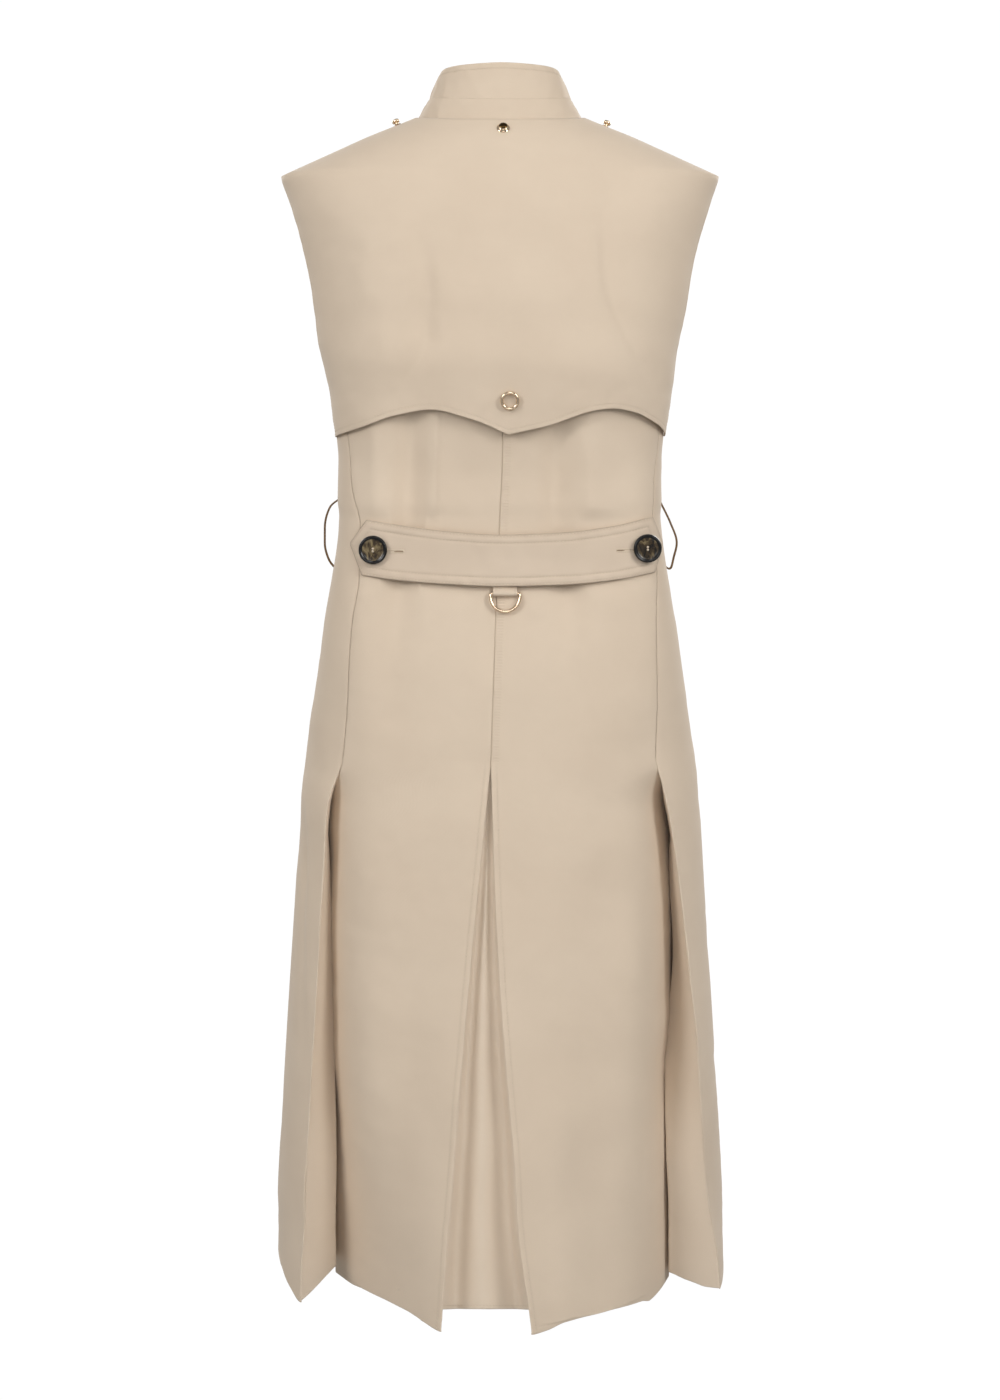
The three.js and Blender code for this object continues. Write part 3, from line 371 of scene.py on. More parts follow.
BODY_FOLDS = [
    Fold([
        (-285, -122, 10, 12, 0), (-330, -122, 10, 12, 3), (-420, -120, 12, 12, 3),
        (-500, -134, 14, 18, 2.6), (-570, -134, 18, 18, 1.4), (-660, -126, 24, 22, 0),
    ]),
    Fold([
        (-285, -88, 13, 17, -3), (-325, -89, 13, 19, -7.5), (-370, -90, 13, 19, -8.5),
        (-420, -92, 13, 18, -7), (-480, -100, 14, 18, -6), (-530, -104, 15, 18, -4.6),
        (-580, -106, 17, 20, -2.4), (-660, -104, 18, 22, 0),
    ]),
    Fold([
        (-285, -62, 20, 3.5, 1), (-325, -62.5, 20, 3.5, 3.2), (-370, -63.5, 18, 3.5, 3.4),
        (-420, -65, 16, 5, 2.6), (-480, -74, 14, 9, 1.8), (-540, -80, 14, 12, 0),
    ]),
    Fold([
        (-285, 56, 13, 14, -3), (-330, 54, 13, 15, -6.5), (-380, 53, 13, 15, -7),
        (-420, 54, 13, 15, -6), (-480, 64, 14, 17, -5), (-530, 70, 15, 17, -2.6), (-590, 74, 18, 18, 0),
    ]),
    Fold([
        (-285, 90, 14, 22, 1), (-330, 88, 13, 22, 4), (-380, 88, 13, 22, 4.2), (-440, 92, 14, 22, 3.6),
        (-520, 104, 18, 24, 2.6), (-600, 112, 20, 24, 1.2), (-690, 116, 24, 24, 0),
    ]),
    Fold([
        (-590, -52, 20, 20, 0), (-700, -62, 22, 22, -1.8), (-860, -84, 24, 24, -2.2),
        (-1000, -92, 26, 24, -1.6), (-1174, -104, 26, 26, -1.2),
    ]),
    Fold([
        (-640, -118, 20, 22, 0), (-760, -122, 20, 22, 1.8), (-900, -128, 20, 22, 1.4),
        (-1174, -132, 22, 24, 1.0),
    ]),
    Fold([
        (-640, 96, 24, 20, 0), (-780, 104, 26, 20, -2.0), (-900, 96, 26, 22, -2.2),
        (-1010, 92, 26, 24, -1.4), (-1174, 88, 26, 26, -1.2),
    ]),
    Fold([
        (-760, 128, 18, 16, 0), (-850, 132, 18, 16, 2.0), (-960, 136, 18, 16, 1.6),
        (-1174, 128, 20, 18, 0.8),
    ]),
    Fold([
        (-840, 48, 18, 20, 0), (-1000, 56, 20, 22, 1.4), (-1174, 66, 22, 24, 1.8),
    ]),
]
FRONT_FOLDS = [
    Fold([
        (-150, -96, 16, 14, 0), (-230, -88, 15, 14, -2.4), (-330, -84, 14, 14, -3.4),
        (-450, -92, 14, 15, -3.2), (-560, -98, 16, 16, -1.6), (-700, -96, 20, 20, 0),
    ]),
    Fold([
        (-170, 88, 14, 16, 0), (-260, 92, 14, 15, -2.2), (-350, 86, 13, 14, -3.2),
        (-460, 90, 14, 14, -2.8), (-560, 100, 16, 16, -1.4), (-720, 104, 20, 20, 0),
    ]),
    Fold([
        (-240, -126, 16, 14, 0), (-400, -124, 16, 14, 2.2), (-600, -132, 20, 18, 1.6),
        (-760, -136, 22, 20, 0),
    ]),
    Fold([
        (-240, 124, 14, 16, 0), (-400, 122, 14, 16, 2.0), (-600, 130, 18, 20, 1.6),
        (-780, 134, 20, 22, 0),
    ]),
    Fold([
        (-560, -60, 20, 22, 0), (-800, -78, 24, 24, -2.4), (-1000, -90, 26, 26, -2.8),
        (-1174, -98, 28, 28, -3.0),
    ]),
    Fold([
        (-620, 70, 22, 20, 0), (-820, 92, 24, 24, -2.2), (-1020, 104, 26, 26, -2.8),
        (-1174, 112, 28, 28, -3.0),
    ]),
    Fold([
        (-700, -138, 20, 20, 0), (-900, -150, 22, 22, 2.0), (-1174, -160, 24, 24, 2.6),
    ]),
    Fold([
        (-700, 142, 20, 20, 0), (-920, 156, 22, 22, 1.8), (-1174, 164, 24, 24, 2.4),
    ]),
]


class Unevenness:
    """Small irregular waves, the same on every run."""

    def __init__(self, seed, shortest, longest, count=26):
        random = np.random.default_rng(seed)
        length = np.exp(random.uniform(np.log(shortest), np.log(longest), count))
        turn = random.uniform(0, math.pi, count)
        self.kx, self.kz = 2 * math.pi / length * np.cos(turn), 2 * math.pi / length * np.sin(turn)
        self.phase = random.uniform(0, 2 * math.pi, count)
        self.weight = (length / longest) ** 0.8
        self.weight /= np.sqrt((self.weight**2).sum() / 2)

    def __call__(self, x, z):
        total = 0 * x
        for kx, kz, phase, weight in zip(self.kx, self.kz, self.phase, self.weight):
            total = total + weight * np.sin(kx * x + kz * z + phase)
        return total


BROAD = Unevenness(11, 55, 150)
FINE = Unevenness(23, 14, 40)
PUCKER = Unevenness(37, 7, 17, 12)


def bump(distance, width):
    return np.exp(-((distance / width) ** 2))


def seam_relief(distance, run):
    """A pressed seam: the cloth turns down into it and puckers a little beside it."""
    turned_down = -0.55 * bump(distance, 0.6) - 0.22 * bump(distance, 4)
    return turned_down + 0.14 * bump(distance, 7) * PUCKER(0 * run, run)


STITCH_IN = 5.2
HEM_TURN_UP = 35


def free_relief(distance, run, stitch=STITCH_IN):
    """A turned edge: rounded off, thicker up to its stitching, with a groove where the thread pulls."""
    rounded = -0.4 * bump(distance, 0.5)
    thicker = 0.12 * (1 - smooth(stitch - 0.4, stitch + 1.2, distance))
    groove = -0.16 * bump(distance - stitch, 0.7)
    return rounded + thicker + groove + 0.12 * bump(distance - stitch, 5) * PUCKER(0 * run + 90, run)


def hem_relief(distance, run):
    """A hem turned up and sewn blind inside."""
    thicker = 0.12 * (1 - smooth(HEM_TURN_UP - 2, HEM_TURN_UP + 2, distance))
    drawn_in = 0.1 * bump(distance - HEM_TURN_UP, 6) * PUCKER(run, 0 * run)
    return thicker + drawn_in - 0.3 * bump(distance, 0.5)


SEAM_OFFSETS = [0, 0.6, 1.3, 2.3, 3.6, 5.2, 7.2, 10, 13.5]
FREE_OFFSETS = [0, 0.6, 1.3, 2.3, 3.4, 4.4, 5.2, 6, 7.2, 9.4, 12.6]
LADDER_OFFSETS = [0, 0.6, 1.2, 1.9, 3, 4.4, 5.8, 7.2, 8, 8.6, 9.4, 11, 13.5]


def lengths_along(points, axis):
    steps = np.linalg.norm(np.diff(points, axis=axis), axis=2)
    start = np.zeros_like(steps[:, :1] if axis == 1 else steps[:1, :])
    return np.concatenate([start, np.cumsum(steps, axis=axis)], axis=axis)


def lay_out(surface, heights, first_offsets, last_offsets, spacing):
    """Shares for each row so that the columns near both edges lie at set distances from them."""
    fine = np.linspace(0, 1, 241)
    z = np.asarray(heights, float)[:, None]
    run = lengths_along(surface(fine[None, :] + 0 * z, z + 0 * fine[None, :]), 1)
    widest = run[:, -1].max()
    inner_count = max(4, int(round((widest - first_offsets[-1] - last_offsets[-1]) / spacing)))
    shares = np.empty((len(z), len(first_offsets) + inner_count - 1 + len(last_offsets)))
    for i, row in enumerate(run):
        total = row[-1]
        squeeze = min(1, 0.8 * total / (first_offsets[-1] + last_offsets[-1]))
        first, last = np.array(first_offsets) * squeeze, total - np.array(last_offsets[::-1]) * squeeze
        middle = np.linspace(first[-1], last[0], inner_count + 1)[1:-1]
        shares[i] = np.interp(np.concatenate([first, middle, last]), row, fine)
    return shares, z + 0 * shares


def rows_between(top, bottom, top_offsets, bottom_offsets, spacing):
    start, end = top - top_offsets[-1], bottom + bottom_offsets[-1]
    middle = np.linspace(start, end, max(3, int(round((start - end) / spacing))) + 1)[1:-1]
    above, below = top - np.array(top_offsets), bottom + np.array(bottom_offsets[::-1])
    return np.concatenate([above, middle, below])


def unit_normals(points, side=1):
    normals = np.cross(np.gradient(points, axis=0), np.gradient(points, axis=1))
    return side * normals / np.linalg.norm(normals, axis=2, keepdims=True)


def run_along(points):
    return np.concatenate([[0], np.cumsum(np.linalg.norm(np.diff(points, axis=0), axis=1))])


def sampled(places, run, values):
    return np.stack([np.interp(places, run, column) for column in values.T], axis=1)


def softened(values, rounds):
    for _ in range(rounds):
        values[1:-1] = (values[:-2] + 2 * values[1:-1] + values[2:]) / 4
    return values


# Meshes
def new_object(name, vertices, faces, material):
    """A smooth-shaded object from vertices in millimetres."""
    mesh = bpy.data.meshes.new(name)
    corners = [tuple(vertex) for vertex in np.asarray(vertices) * MM]
    mesh.from_pydata(corners, [], [tuple(int(k) for k in face) for face in faces])
    mesh.validate()
    mesh.polygons.foreach_set("use_smooth", [True] * len(mesh.polygons))
    mesh.update()
    mesh.materials.append(material)
    obj = bpy.data.objects.new(name, mesh)
    bpy.context.scene.collection.objects.link(obj)
    return obj


def round_faces(rings, around, closed=False):
    """Quads between rings of points, and from the last ring to the first where they close."""
    faces = []
    for i in range(rings if closed else rings - 1):
        here, after = i * around, (i + 1) % rings * around
        for k in range(around):
            up = (k + 1) % around
            faces.append((here + k, here + up, after + up, after + k))
    return faces


def shell(name, outer, inner, marks, material):
    """A closed cloth shell from two grids of points. Its flat map holds the cloth in metres."""
    rows, columns = outer.shape[:2]
    count = rows * columns
    vertices = np.concatenate([outer.reshape(-1, 3), inner.reshape(-1, 3)])
    number = np.arange(count).reshape(rows, columns)
    corners = (number[:-1, :-1], number[1:, :-1], number[1:, 1:], number[:-1, 1:])
    a, b, c, d = (corner.ravel() for corner in corners)
    faces = [np.stack([a, b, c, d], 1), np.stack([a, d, c, b], 1) + count]
    for edge in (number[0, ::-1], number[-1], number[:, 0], number[::-1, -1]):
        faces.append(np.stack([edge[:-1], edge[:-1] + count, edge[1:] + count, edge[1:]], 1))
    faces = np.concatenate(faces)
    at = vertices[faces]
    cross = np.cross(at[:, 2] - at[:, 0], at[:, 3] - at[:, 1])
    if (at.mean(axis=1) * cross).sum() < 0:
        faces = faces[:, ::-1]
    obj = new_object(name, vertices, faces, material)
    across, down = lengths_along(outer, 1), lengths_along(outer, 0)
    mean_down = down.mean(axis=1, keepdims=True) + 0 * down
    flat = np.stack([across - across[:, -1:] / 2, -mean_down], axis=2).reshape(-1, 2) * MM
    flat = np.concatenate([flat, flat])
    corner = np.empty(len(obj.data.loops), dtype=np.int32)
    obj.data.loops.foreach_get("vertex_index", corner)
    obj.data.uv_layers.new(name="cloth").data.foreach_set("uv", flat[corner].ravel())
    for key, values in marks.items():
        both = np.concatenate([values.ravel(), 0 * values.ravel()]).astype(np.float32)
        obj.data.attributes.new(key, "FLOAT", "POINT").data.foreach_set("value", both)
    return obj


# Materials
def srgb(*levels):
    parts = [level / 255 for level in levels]
    return (*(c / 12.92 if c <= 0.04045 else ((c + 0.055) / 1.055) ** 2.4 for c in parts), 1)


class Look:
    """A material. An input whose value is another node's output is linked to it."""

    def __init__(self, name):
        self.material = bpy.data.materials.new(name)
        self.material.use_nodes = True
        self.tree = self.material.node_tree

    def fill(self, node, values):
        for key, value in values.items():
            name = key if isinstance(key, int) else key.replace("_", " ")
            if isinstance(value, bpy.types.NodeSocket):
                self.tree.links.new(value, node.inputs[name])
            elif isinstance(name, int) or name in node.inputs:
                node.inputs[name].default_value = value
            else:
                setattr(node, key, value)

    def node(self, kind, output, **values):
        made = self.tree.nodes.new(f"ShaderNode{kind}")
        self.fill(made, values)
        return made.outputs[output]

    def math(self, operation, *values, use_clamp=False):
        made = self.tree.nodes.new("ShaderNodeMath")
        made.operation, made.use_clamp = operation, use_clamp
        self.fill(made, dict(enumerate(values)))
        return made.outputs["Value"]

    def tone(self, share, first, second):
        return self.node("Mix", "Result", data_type="RGBA", Factor=share, A=first, B=second)

    def relief(self, height, strength, distance):
        return self.node("Bump", "Normal", Height=height, Strength=strength, Distance=distance)

    def show(self, **values):
        self.fill(self.tree.nodes["Principled BSDF"], values)
        return self.material


TWILL_LEAN = math.radians(27)
LADDER_PITCH = 0.0028


def gabardine(name, light, dark, groove_shade_colour):
    """A fine steep twill: its cords and the yarn's grain in the bump, uneven dyeing in the colour, and
    painted shade in the grooves of seams, stitching and edges where the 'line' mark is set.
    """
    look = Look(name)
    flat = look.node("UVMap", "UV", uv_map="cloth")
    cloudy = look.node("TexNoise", "Fac", Vector=flat, Scale=9.0, Detail=4.0, Roughness=0.55)
    grain = look.node("TexNoise", "Fac", Vector=flat, Scale=900.0, Detail=3.0, Roughness=0.7)
    leaning = look.node("Mapping", "Vector", Vector=flat, Rotation=(0, 0, TWILL_LEAN))
    twill = look.node(
        "TexWave", "Fac", Vector=leaning, Scale=260.0, Distortion=1.4, Detail=2.0, Detail_Scale=1.2
    )
    speck = look.math("MULTIPLY_ADD", grain, 0.5, look.math("MULTIPLY_ADD", cloudy, 1.3, -0.15))
    dye = look.tone(look.math("SUBTRACT", speck, 0.25, use_clamp=True), dark, light)
    # The 'line' mark darkens the colour towards the third colour given: painted shade in the grooves of
    # seams, stitching and edges.
    line = look.node("Attribute", "Fac", attribute_name="line")
    dye_with_painted_shade = look.tone(look.math("MULTIPLY", line, 0.55, use_clamp=True), dye, groove_shade_colour)
    along = look.node("SeparateXYZ", "Y", Vector=flat)
    wave = look.math("SINE", look.math("MULTIPLY", along, 2 * math.pi / LADDER_PITCH))
    rungs = look.math("MULTIPLY", wave, look.node("Attribute", "Fac", attribute_name="ladder"))
    height = look.math("ADD", look.math("MULTIPLY_ADD", twill, 0.5, grain), rungs)
    return look.show(
        Roughness=0.82, Sheen_Weight=0.12, Sheen_Roughness=0.45, Specular_IOR_Level=0.28,
        Base_Color=dye_with_painted_shade, Normal=look.relief(height, 0.35, 0.00025),
    )


def plain_thread(name, light, dark, roughness=0.7, scale=1400.0):
    look = Look(name)
    place = look.node("TexCoord", "Object")
    grain = look.node("TexNoise", "Fac", Vector=place, Scale=scale, Detail=2.0)
    colour = look.tone(grain, dark, light)
    return look.show(Roughness=roughness, Base_Color=colour, Normal=look.relief(grain, 0.3, 0.0002))


def polished_metal(name, dark, light, smoothest, roughest):
    look = Look(name)
    place = look.node("TexCoord", "Object")
    haze = look.node("TexNoise", "Fac", Vector=place, Scale=160.0, Detail=3.0)
    rough = look.node("MapRange", "Result", Value=haze, To_Min=smoothest, To_Max=roughest)
    return look.show(Metallic=1, Base_Color=look.tone(haze, dark, light), Roughness=rough)


def mottled_horn(name):
    """Polished horn: a near-black rim and an olive and brown mottled middle."""
    look = Look(name)
    place = look.node("TexCoord", "Object")
    drawn_out = look.node("Mapping", "Vector", Vector=place, Scale=(1.0, 1.0, 0.45))
    clouds = look.node(
        "TexNoise", "Fac", Vector=drawn_out, Scale=150.0, Detail=5.0, Roughness=0.6, Distortion=1.2
    )
    ramp = look.node("ValToRGB", "Color", Fac=clouds)
    stops = ramp.node.color_ramp.elements
    stops[0].position, stops[0].color = 0.38, srgb(20, 16, 12)
    stops[1].position, stops[1].color = 0.66, srgb(132, 116, 84)
    stops.new(0.52).color = srgb(66, 53, 36)
    rim = look.node("Attribute", "Fac", attribute_name="rim")
    return look.show(
        Roughness=0.24, Specular_IOR_Level=0.35, Coat_Weight=0.25, Coat_Roughness=0.1,
        Base_Color=look.tone(rim, ramp, srgb(14, 12, 11)),
    )


CLOTH = gabardine("gabardine", srgb(222, 204, 182), srgb(212, 193, 171), srgb(128, 106, 84))
# The same gabardine painted lighter for the pleat underlays: painted light, since they catch more of it.
UNDERLAY_CLOTH_LIT = gabardine(
    "gabardine_underlay_painted_light", srgb(226, 209, 188), srgb(217, 199, 178), srgb(130, 108, 88)
)
# The same gabardine painted darker for the back tab: painted shade, not a different or interlined cloth.
TAB_CLOTH_SHADED = gabardine(
    "gabardine_tab_painted_shade", srgb(216, 198, 177), srgb(206, 187, 166), srgb(116, 94, 74)
)
THREAD = plain_thread("sewing_thread", srgb(222, 206, 184), srgb(196, 177, 152))
RIBBON = plain_thread("loop_ribbon", srgb(136, 104, 66), srgb(88, 64, 38), 0.6, 900.0)
GOLD = polished_metal("pale_gold", srgb(228, 202, 170), srgb(240, 219, 192), 0.1, 0.14)
DARK_BRONZE = polished_metal("dark_bronze", srgb(58, 44, 26), srgb(98, 76, 44), 0.16, 0.26)
HORN = mottled_horn("mottled_horn")
# A darker colour for the buttonholes' slits: painted shade in the hole.
HOLE_SHADE = plain_thread("buttonhole_slit_painted_shade", srgb(164, 142, 118), srgb(142, 120, 98), 0.9)


# Pieces
def dress_piece(obj, node, body="garment"):
    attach(obj, body)
    if node:
        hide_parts(node)
    return obj


SHOULDER_DROP, NECK_SETTLE = 2.4, 2.8


def settled(points, at_neck=NECK_SETTLE):
    """The cloth's own weight draws neck and shoulders down a little."""
    points = np.array(points, float)
    z = points[..., 2]
    points[..., 2] = z - SHOULDER_DROP * smooth(-130, -50, z) - at_neck * smooth(-26, 2, z)
    return points


class Cloth:
    """A cloth surface with the distance of each point from the four edges, in millimetres."""

    def __init__(self, points, side, at_neck=NECK_SETTLE):
        points = settled(points, at_neck)
        self.base, self.side = points, side
        self.normals = unit_normals(points, side)
        self.first, self.top = lengths_along(points, 1), lengths_along(points, 0)
        self.last, self.bottom = self.first[:, -1:] - self.first, self.top[-1:] - self.top
        self.x, self.z = points[..., 0], points[..., 2]

    def make(
        self, node, relief, line, ladder=0, wall=WALL, material=CLOTH, ending="cloth"
    ):
        self.outer = self.base + self.normals * relief[..., None]
        inner = self.outer - unit_normals(self.outer, self.side) * wall
        # The 'line' mark is painted shade along seams, stitching and edges. The 'ladder' mark only bumps the
        # cloth.
        marks = {"line": clamp(line), "ladder": clamp(ladder + 0 * line)}
        self.obj = shell(f"{node}_{ending}", self.outer, inner, marks, material)
        dress_piece(self.obj, node)
        return self

    def declare(self, held="hung"):
        return self

    def _line(self, run, distance, keep, down):
        """Points and normals where each kept row, or column, is at a distance along its run."""
        grids = [self.outer, unit_normals(self.outer, self.side)]
        if not down:
            run, grids = run.T, [grid.transpose(1, 0, 2) for grid in grids]
        found = []
        for i in np.flatnonzero(keep):
            order = np.argsort(run[i])
            here = [run[i][order]] + [grid[i, order] for grid in grids]
            found.append([[np.interp(distance, here[0], grid[:, k]) for k in range(3)] for grid in here[1:]])
        found = np.array(found)
        return found[:, 0], found[:, 1]

    def beside(self, run, distance, top=math.inf, bottom=-math.inf):
        """A line down the cloth on the rows between two heights."""
        highest = self.z.max(axis=1)
        return self._line(run, distance, (highest <= top) & (highest >= bottom), True)

    def across(self, run, distance, margin=0):
        """A line across the cloth, up to a margin from its sides."""
        keep = (self.first[-1] >= margin) & (self.last[-1] >= margin)
        return self._line(run, distance, keep, False)


STITCH_PITCH, STITCH_LENGTH, STITCH_WIDTH, STITCH_HEIGHT, STITCH_DEPTH = 3.3, 2.5, 0.62, 0.34, 0.25
STITCH_SHOULDERS = (0.28, 0.72)
STITCH_FACES = [
    (0, 1, 2), (0, 2, 3), (0, 3, 4), (0, 4, 1), (1, 5, 6, 2), (2, 6, 7, 3), (3, 7, 8, 4), (4, 8, 5, 1),
    (9, 6, 5), (9, 7, 6), (9, 8, 7), (9, 5, 8),
]


def stitches(name, lines):
    """Rows of small raised stitches along lines of (points, normals)."""
    vertices = []
    for points, normals in lines:
        run = run_along(points)
        middles = np.arange(STITCH_PITCH, run[-1] - STITCH_PITCH / 2, STITCH_PITCH)
        out = sampled(middles, run, normals)
        out /= np.linalg.norm(out, axis=1, keepdims=True)
        start = sampled(middles - STITCH_LENGTH / 2, run, points)
        end = sampled(middles + STITCH_LENGTH / 2, run, points)
        along = (end - start) / np.linalg.norm(end - start, axis=1, keepdims=True)
        rise, sink = out * STITCH_HEIGHT, out * -STITCH_DEPTH
        half = np.cross(along, out) * STITCH_WIDTH / 2
        corners = [start + sink * 0.6]
        for share in STITCH_SHOULDERS:
            place = mix(start, end, share)
            corners += [place - half, place + rise, place + half, place + sink]
        corners.append(end + sink * 0.6)
        vertices.append(np.stack(corners, axis=1).reshape(-1, 3))
    vertices = np.concatenate(vertices)
    faces = []
    for first in range(0, len(vertices), 10):
        faces += [tuple(first + corner for corner in face) for face in STITCH_FACES]
    return dress_piece(new_object(name, vertices, faces, THREAD), None)


# Cloth panels
SEAM_GAP = 0.4
TAB_TOP_Z, TAB_BOTTOM_Z, TAB_PRESS = -412, -474, 14
BLOUSE_TOP_Z, BLOUSE_FULL_Z, BLOUSE_HEIGHT = -335, -392, 1.5
TOP_OFFSETS = [0, 2, 4.5]
VENT_STITCH, SIDE_PLEAT_STITCH = 5.4, 60


def folds(table, x, z):
    return sum(fold(x, z) for fold in table)


def unevenness(x, z):
    return 0.55 * BROAD(x, z) + 0.12 * FINE(x, z)


def flap_cover(x, z):
    """1 where the storm flap lies close over the back, falling to 0 at its bottom edge."""
    edge = np.where(x < FLAP_POINT_X, FLAP_EDGE[-1](x), FLAP_EDGE[1](x))
    return smooth(-4, 26, z - edge)


def back_body(x, z):
    """Folds and waves of the backs and side panels, calmer under the tab and the flap."""
    own = folds(BODY_FOLDS, x, z) + unevenness(x, z)
    own = np.where(own > 0, own * (1 - smooth(0.84, 0.96, np.abs(x) / OUTLINE(z))), own)
    blouse = smooth(BLOUSE_TOP_Z, BLOUSE_FULL_Z, z) * (1 - smooth(BLOUSE_FULL_Z, TAB_TOP_Z + 2, z))
    own = own + BLOUSE_HEIGHT * blouse
    under_tab = smooth(TAB_TOP_Z + TAB_PRESS, TAB_TOP_Z, z)
    under_tab = under_tab * (1 - smooth(TAB_BOTTOM_Z, TAB_BOTTOM_Z - TAB_PRESS, z))
    own = np.where(own > 0, own * (1 - 0.75 * under_tab), own)
    return mix(own, folds(FLAP_FOLDS, x, z) - 1.2, flap_cover(x, z))


# Painted shade: how far the colour is darkened in the groove of a pressed seam.
def seam_painted_shade(distance):
    return 0.6 * bump(distance, 0.55)


# Painted shade: how far the colour is darkened in the groove where the stitching pulls the cloth in.
def stitch_painted_shade(distance, stitch=STITCH_IN):
    return 0.16 * bump(distance - stitch, 0.7)


def edge_relief(distance, run, free, stitch=STITCH_IN):
    """A seam where free is 0 and a turned edge where it is 1."""
    return mix(seam_relief(distance, run), free_relief(distance, run, stitch), free)


# Painted shade along a seam where free is 0, and along a turned edge's stitching where it is 1.
def edge_painted_shade(distance, free, stitch=STITCH_IN):
    return mix(seam_painted_shade(distance), stitch_painted_shade(distance, stitch), free)


def with_rows(rows, *exact):
    for z in exact:
        rows[np.argmin(np.abs(rows - z))] = z
    return rows


def slit_open(z):
    return smooth(SLIT_TOP_Z + 4, SLIT_TOP_Z - 12, z)


def make_back(hand):
    heights = rows_between(0, HEM_Z, TOP_OFFSETS, FREE_OFFSETS, 4)
    heights = with_rows(heights, TIP_Z, PRINCESS_TOP_Z, SLIT_TOP_Z)
    first = LADDER_OFFSETS if hand > 0 else SEAM_OFFSETS
    surface = partial(back_point, hand)
    cloth = Cloth(hem_fitted(surface(*lay_out(surface, heights, first, FREE_OFFSETS, 3.9)), "back"), hand)
    x, z = cloth.x, cloth.z
    open_below = slit_open(z)
    open_above = smooth(PRINCESS_TOP_Z - 4, PRINCESS_TOP_Z + 4, z) * (1 - smooth(TIP_Z - 6, TIP_Z, z))
    free = np.maximum(open_below, open_above)
    relief = back_body(x, z) + edge_relief(cloth.first, z, open_below, VENT_STITCH)
    relief = relief + edge_relief(cloth.last, z, free) + hem_relief(cloth.bottom, x)
    ladder = 0 * x
    if hand > 0:
        band = smooth(0.8, 2, cloth.first) * (1 - smooth(7.2, 8.8, cloth.first))
        ladder = band * (1 - open_below) * (1 - flap_cover(x, z))
        relief = relief + 0.2 * ladder * PUCKER(0 * z + 40, z) * bump(cloth.first - 4.6, 5)
    # Painted shade along seams and stitching, with a little more painted shade over the ladder of the double
    # stitching.
    line = edge_painted_shade(cloth.first, open_below, VENT_STITCH) + seam_painted_shade(cloth.last) * (1 - free)
    return cloth.make(f"back_{SIDES[hand]}", relief, line + 0.05 * ladder, ladder).declare()


LEFT_SIDE_FOLDS = [
    Fold([
        (-690, -198, 5, 3, 0), (-725, -198, 5, 3, -4), (-765, -197.5, 5, 3, -6), (-800, -197, 5, 3, -3),
        (-950, -195, 6, 5, -0.5),
    ]),
]


def make_side(hand):
    heights = rows_between(PRINCESS_TOP_Z - 6, HEM_Z, [0, 2], FREE_OFFSETS, 4)
    heights = with_rows(heights, UNDERARM_Z, SLIT_TOP_Z)
    surface = partial(side_point, hand)
    points = surface(*lay_out(surface, heights, FREE_OFFSETS, FREE_OFFSETS, 3.4))
    cloth = Cloth(hem_fitted(points, "side"), hand)
    x, z = cloth.x, cloth.z
    open_below = slit_open(z)
    under_arm = smooth(UNDERARM_Z - 5, UNDERARM_Z + 3, z)
    relief = back_body(x, z) * smooth(0, 30, cloth.last) + hem_relief(cloth.bottom, x)
    relief = relief + edge_relief(cloth.first, z, open_below, SIDE_PLEAT_STITCH)
    relief = relief + edge_relief(cloth.last, z, under_arm)
    if hand < 0:
        relief = relief + folds(LEFT_SIDE_FOLDS, x, z)
    line = seam_painted_shade(cloth.first) * (1 - open_below) + edge_painted_shade(cloth.last, under_arm)
    return cloth.make(f"side_{SIDES[hand]}", relief, line).declare()


def make_front(hand):
    heights = with_rows(rows_between(0, HEM_Z, TOP_OFFSETS, FREE_OFFSETS, 4.2), TIP_Z, UNDERARM_Z)
    surface = partial(front_point, hand)
    cloth = Cloth(surface(*lay_out(surface, heights, FREE_OFFSETS, FREE_OFFSETS, 4.4)), -hand)
    x, z = cloth.x, cloth.z
    armhole = smooth(UNDERARM_Z - 5, UNDERARM_Z + 3, z) * (1 - smooth(TIP_Z - 6, TIP_Z, z))
    own = folds(FRONT_FOLDS, x, z) + unevenness(x, z)
    own = own * smooth(0, 30, cloth.last) * smooth(0, 40, cloth.first)
    relief = own + edge_relief(cloth.last, z, armhole)
    relief = relief + free_relief(cloth.first, z) + hem_relief(cloth.bottom, x)
    if hand < 0:
        relief = relief - (WALL + 3 * SEAM_GAP) * (1 - smooth(FRONT_LAP + 16, FRONT_LAP + 55, -x))
    else:
        relief = np.where(cloth.first < 60, np.maximum(relief, own * 0.3 - 1.2), relief)
    line = edge_painted_shade(cloth.last, armhole) + stitch_painted_shade(cloth.first)
    return cloth.make(f"front_{SIDES[hand]}", relief, line).declare()


def make_flap():
    heights = with_rows(rows_between(0, FLAP_CORNER_Z, TOP_OFFSETS, FREE_OFFSETS, 3.2), TIP_Z)
    shares, z = lay_out(flap_point, heights, FREE_OFFSETS, FREE_OFFSETS, 3.2)
    cloth = Cloth(flap_point(shares, z), 1)
    x, z = cloth.x, cloth.z
    free = smooth(TIP_Z + 3, TIP_Z - 6, z)
    relief = flap_lift(shares, z) + folds(FLAP_FOLDS, x, z) + unevenness(x, z) * smooth(-40, -120, z)
    relief = relief + free_relief(cloth.bottom, x)
    line = stitch_painted_shade(cloth.bottom)
    for side in (cloth.first, cloth.last):
        relief = relief + edge_relief(side, z, free)
        line = line + edge_painted_shade(side, free)
    return cloth.make("storm_flap", relief, line).declare()


BACKS = {hand: make_back(hand) for hand in SIDES}
SIDE_PANELS = {hand: make_side(hand) for hand in SIDES}
FRONTS = {hand: make_front(hand) for hand in SIDES}
FLAP = make_flap()


